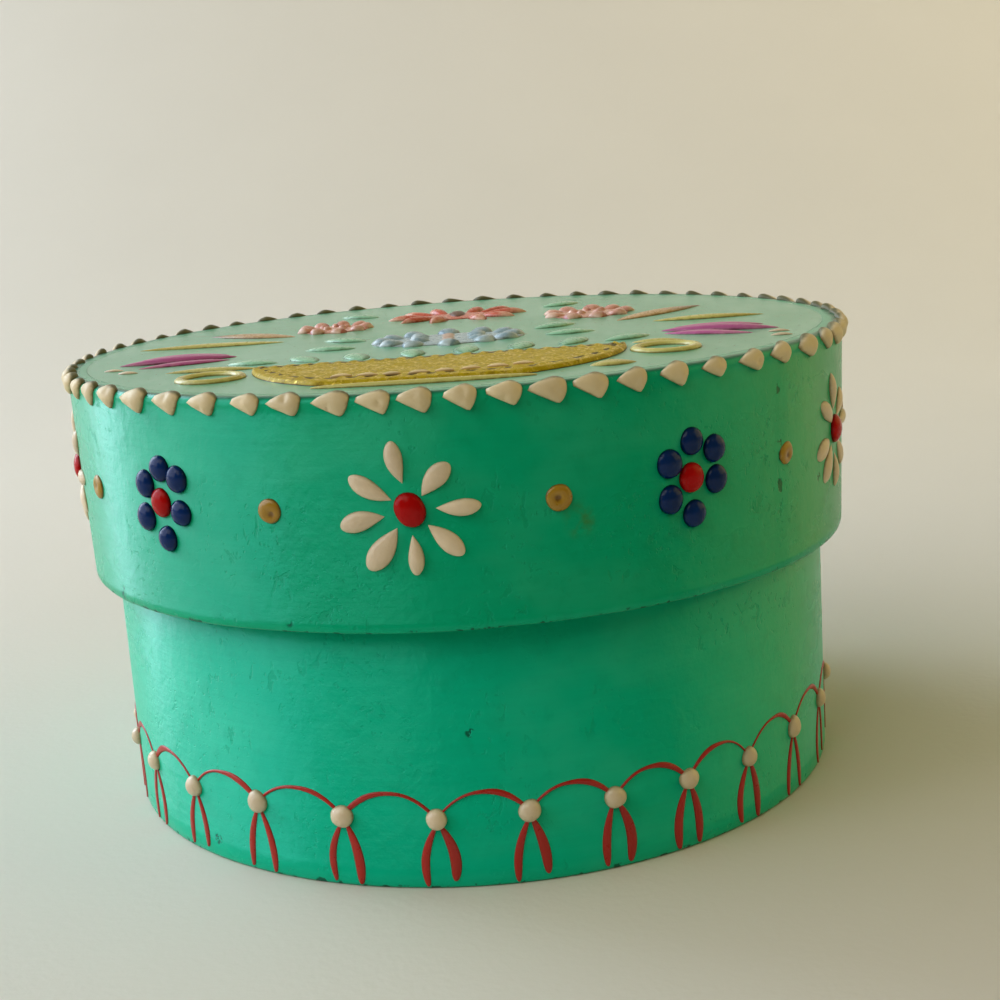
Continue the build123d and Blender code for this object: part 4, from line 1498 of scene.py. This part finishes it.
class PAINTED_BOX_OT_stage(PaintedBoxOperator, bpy.types.Operator):
    """Set the camera, the floor with its backdrop, and the lights"""

    bl_idname = "painted_box.stage"
    bl_label = "Stage"

    def set_camera(self, context, stage):
        """The camera stands where the photograph was taken from."""
        rise = stage.elevation
        spot = Vector((0, -math.cos(rise), math.sin(rise))) * stage.distance
        spot.z += stage.aim_height
        ahead = Vector((0, math.cos(rise), -math.sin(rise)))
        right = Vector((1, 0, 0))
        up = right.cross(ahead)
        aim = ahead * (math.cos(stage.yaw) * math.cos(stage.pitch))
        aim += right * (math.sin(stage.yaw) * math.cos(stage.pitch))
        aim += up * math.sin(stage.pitch)
        level = aim.cross(Vector((0, 0, 1))).normalized()
        upright = level.cross(aim)
        cos_roll, sin_roll = math.cos(stage.roll), math.sin(stage.roll)
        side = level * cos_roll + upright * sin_roll
        top = upright * cos_roll - level * sin_roll
        turn = Matrix((side, top, -aim)).transposed().to_4x4()
        data = bpy.data.cameras.new("camera")
        data.lens = stage.lens
        data.sensor_width = 36
        data.clip_start = 0.01
        camera = bpy.data.objects.new("camera", data)
        camera.matrix_world = Matrix.Translation(spot) @ turn
        context.scene.collection.objects.link(camera)
        context.scene.camera = camera

    def lay_floor(self, context, stage):
        """A pale floor that curves up into the backdrop."""
        half_width, length, near, start, radius = 4, 6.0, -4.0, 0.24, 0.5
        mesh = bmesh.new()
        bmesh.ops.create_grid(mesh, x_segments=4, y_segments=160, size=1.0)
        for vert in mesh.verts:
            across = vert.co.x * half_width
            run = (vert.co.y + 1) / 2 * length + near
            if run <= start:
                vert.co = Vector((across, run, 0))
            else:
                lean = min((run - start) / radius, math.pi / 2)
                over = max(run - start - radius * math.pi / 2, 0)
                back = start + radius * math.sin(lean)
                vert.co = Vector((across, back, radius * (1 - math.cos(lean)) + over))
        data = bpy.data.meshes.new("floor")
        mesh.to_mesh(data)
        mesh.free()
        data.shade_smooth()
        data.materials.append(stage_finish("floor_paint", stage))
        floor = bpy.data.objects.new("floor", data)
        context.scene.collection.objects.link(floor)

    def hang_light(self, context, name, power, spot, size, colour, aim):
        """A soft rectangular lamp that faces a place."""
        data = bpy.data.lights.new(name, "AREA")
        data.shape = "RECTANGLE"
        data.size, data.size_y = size
        data.energy = power
        data.color = colour
        lamp = bpy.data.objects.new(name, data)
        lamp.location = spot
        ahead = Vector(aim) - Vector(spot)
        lamp.rotation_euler = ahead.to_track_quat("-Z", "Y").to_euler()
        lamp.visible_camera = False
        context.scene.collection.objects.link(lamp)

    def fill_world(self, context, stage):
        """Warm light from all round, and a pale haze for the camera."""
        world = bpy.data.worlds.new("room")
        world.use_nodes = True
        nodes, links = world.node_tree.nodes, world.node_tree.links
        light = nodes["Background"]
        light.inputs["Color"].default_value = (1.0, 0.84, 0.52, 1.0)
        light.inputs["Strength"].default_value = stage.sky
        haze = nodes.new("ShaderNodeBackground")
        haze.inputs["Color"].default_value = (*stage.haze, 1.0)
        path = nodes.new("ShaderNodeLightPath")
        mix = nodes.new("ShaderNodeMixShader")
        links.new(path.outputs["Is Camera Ray"], mix.inputs[0])
        links.new(light.outputs[0], mix.inputs[1])
        links.new(haze.outputs[0], mix.inputs[2])
        links.new(mix.outputs[0], nodes["World Output"].inputs["Surface"])
        context.scene.world = world

    def execute(self, context):
        stage = self.settings(context).stage
        self.set_camera(context, stage)
        self.lay_floor(context, stage)
        box, wall = (0, 0, 0.03), (0.45, 1.0, 0.5)
        for name, power, spot, size, colour, aim in (
            ("window", stage.window_power, (-0.9, 0.1, 0.5), (1.4, 0.9), (0.8, 0.84, 1.0), box),
            ("far_window", stage.far_window_power, (-0.66, 0.62, 0.4), (0.7, 0.8), (0.67, 0.85, 1.0), box),
            ("skylight", stage.skylight_power, (-0.5, -0.55, 0.8), (0.7, 0.7), (1.0, 0.99, 0.84), box),
            ("room", stage.room_power, (0.85, 0.1, 0.4), (1.0, 0.7), (1.0, 0.8, 0.24), box),
            ("bulb", stage.bulb_power, (0.3, -0.42, 0.5), (0.06, 0.06), (1.0, 0.9, 0.75), box),
            ("backdrop_lamp", stage.backdrop_power, (0.5, 0.12, 0.5), (0.6, 0.4), (1.0, 0.93, 0.78), wall),
        ):
            self.hang_light(context, name, power, spot, size, colour, aim)
        self.fill_world(context, stage)
        context.scene.view_settings.view_transform = "Standard"
        return {"FINISHED"}


class PAINTED_BOX_PT_panel(bpy.types.Panel):
    """Lists the pieces of the painted box"""

    bl_idname = "PAINTED_BOX_PT_panel"
    bl_label = "Painted Box"
    bl_space_type = "VIEW_3D"
    bl_region_type = "UI"
    bl_category = "Painted Box"

    def draw(self, context):
        settings = context.scene.painted_box
        for operator in OPERATORS:
            self.layout.operator(operator.bl_idname)
        for group in settings.bl_rna.properties:
            if group.type != "POINTER" or group.identifier == "rna_type":
                continue
            box = self.layout.box()
            box.label(text=group.identifier.replace("_", " ").capitalize())
            values = getattr(settings, group.identifier)
            for value in values.bl_rna.properties:
                if value.identifier not in ("rna_type", "name"):
                    box.prop(values, value.identifier)


GROUPS = (
    StripSettings,
    DropSettings,
    FlowerSettings,
    BorderSettings,
    PictureSettings,
    PaintSettings,
    StageSettings,
    PaintedBoxSettings,
)
OPERATORS = (
    PAINTED_BOX_OT_stage,
    PAINTED_BOX_OT_strips,
    PAINTED_BOX_OT_boards,
    PAINTED_BOX_OT_rim_drops,
    PAINTED_BOX_OT_daisies,
    PAINTED_BOX_OT_blue_flowers,
    PAINTED_BOX_OT_ochre_dots,
    PAINTED_BOX_OT_foot_border,
    PAINTED_BOX_OT_basket,
    PAINTED_BOX_OT_blooms,
    PAINTED_BOX_OT_tulips,
    PAINTED_BOX_OT_leaves,
)
CLASSES = (*GROUPS, *OPERATORS, PAINTED_BOX_PT_panel)


def register():
    """Registers the settings, operators and panel."""
    for item in CLASSES:
        bpy.utils.register_class(item)
    bpy.types.Scene.painted_box = PointerProperty(type=PaintedBoxSettings)


def unregister():
    """Takes the settings, operators and panel away again."""
    del bpy.types.Scene.painted_box
    for item in reversed(CLASSES):
        bpy.utils.unregister_class(item)


def main():
    register()
    bpy.ops.painted_box.stage()
    bpy.ops.painted_box.strips()
    bpy.ops.painted_box.boards()
    bpy.ops.painted_box.rim_drops()
    bpy.ops.painted_box.daisies()
    bpy.ops.painted_box.blue_flowers()
    bpy.ops.painted_box.ochre_dots()
    bpy.ops.painted_box.foot_border()
    bpy.ops.painted_box.basket()
    bpy.ops.painted_box.blooms()
    bpy.ops.painted_box.tulips()
    bpy.ops.painted_box.leaves()


if __name__ == "__main__":
    main()
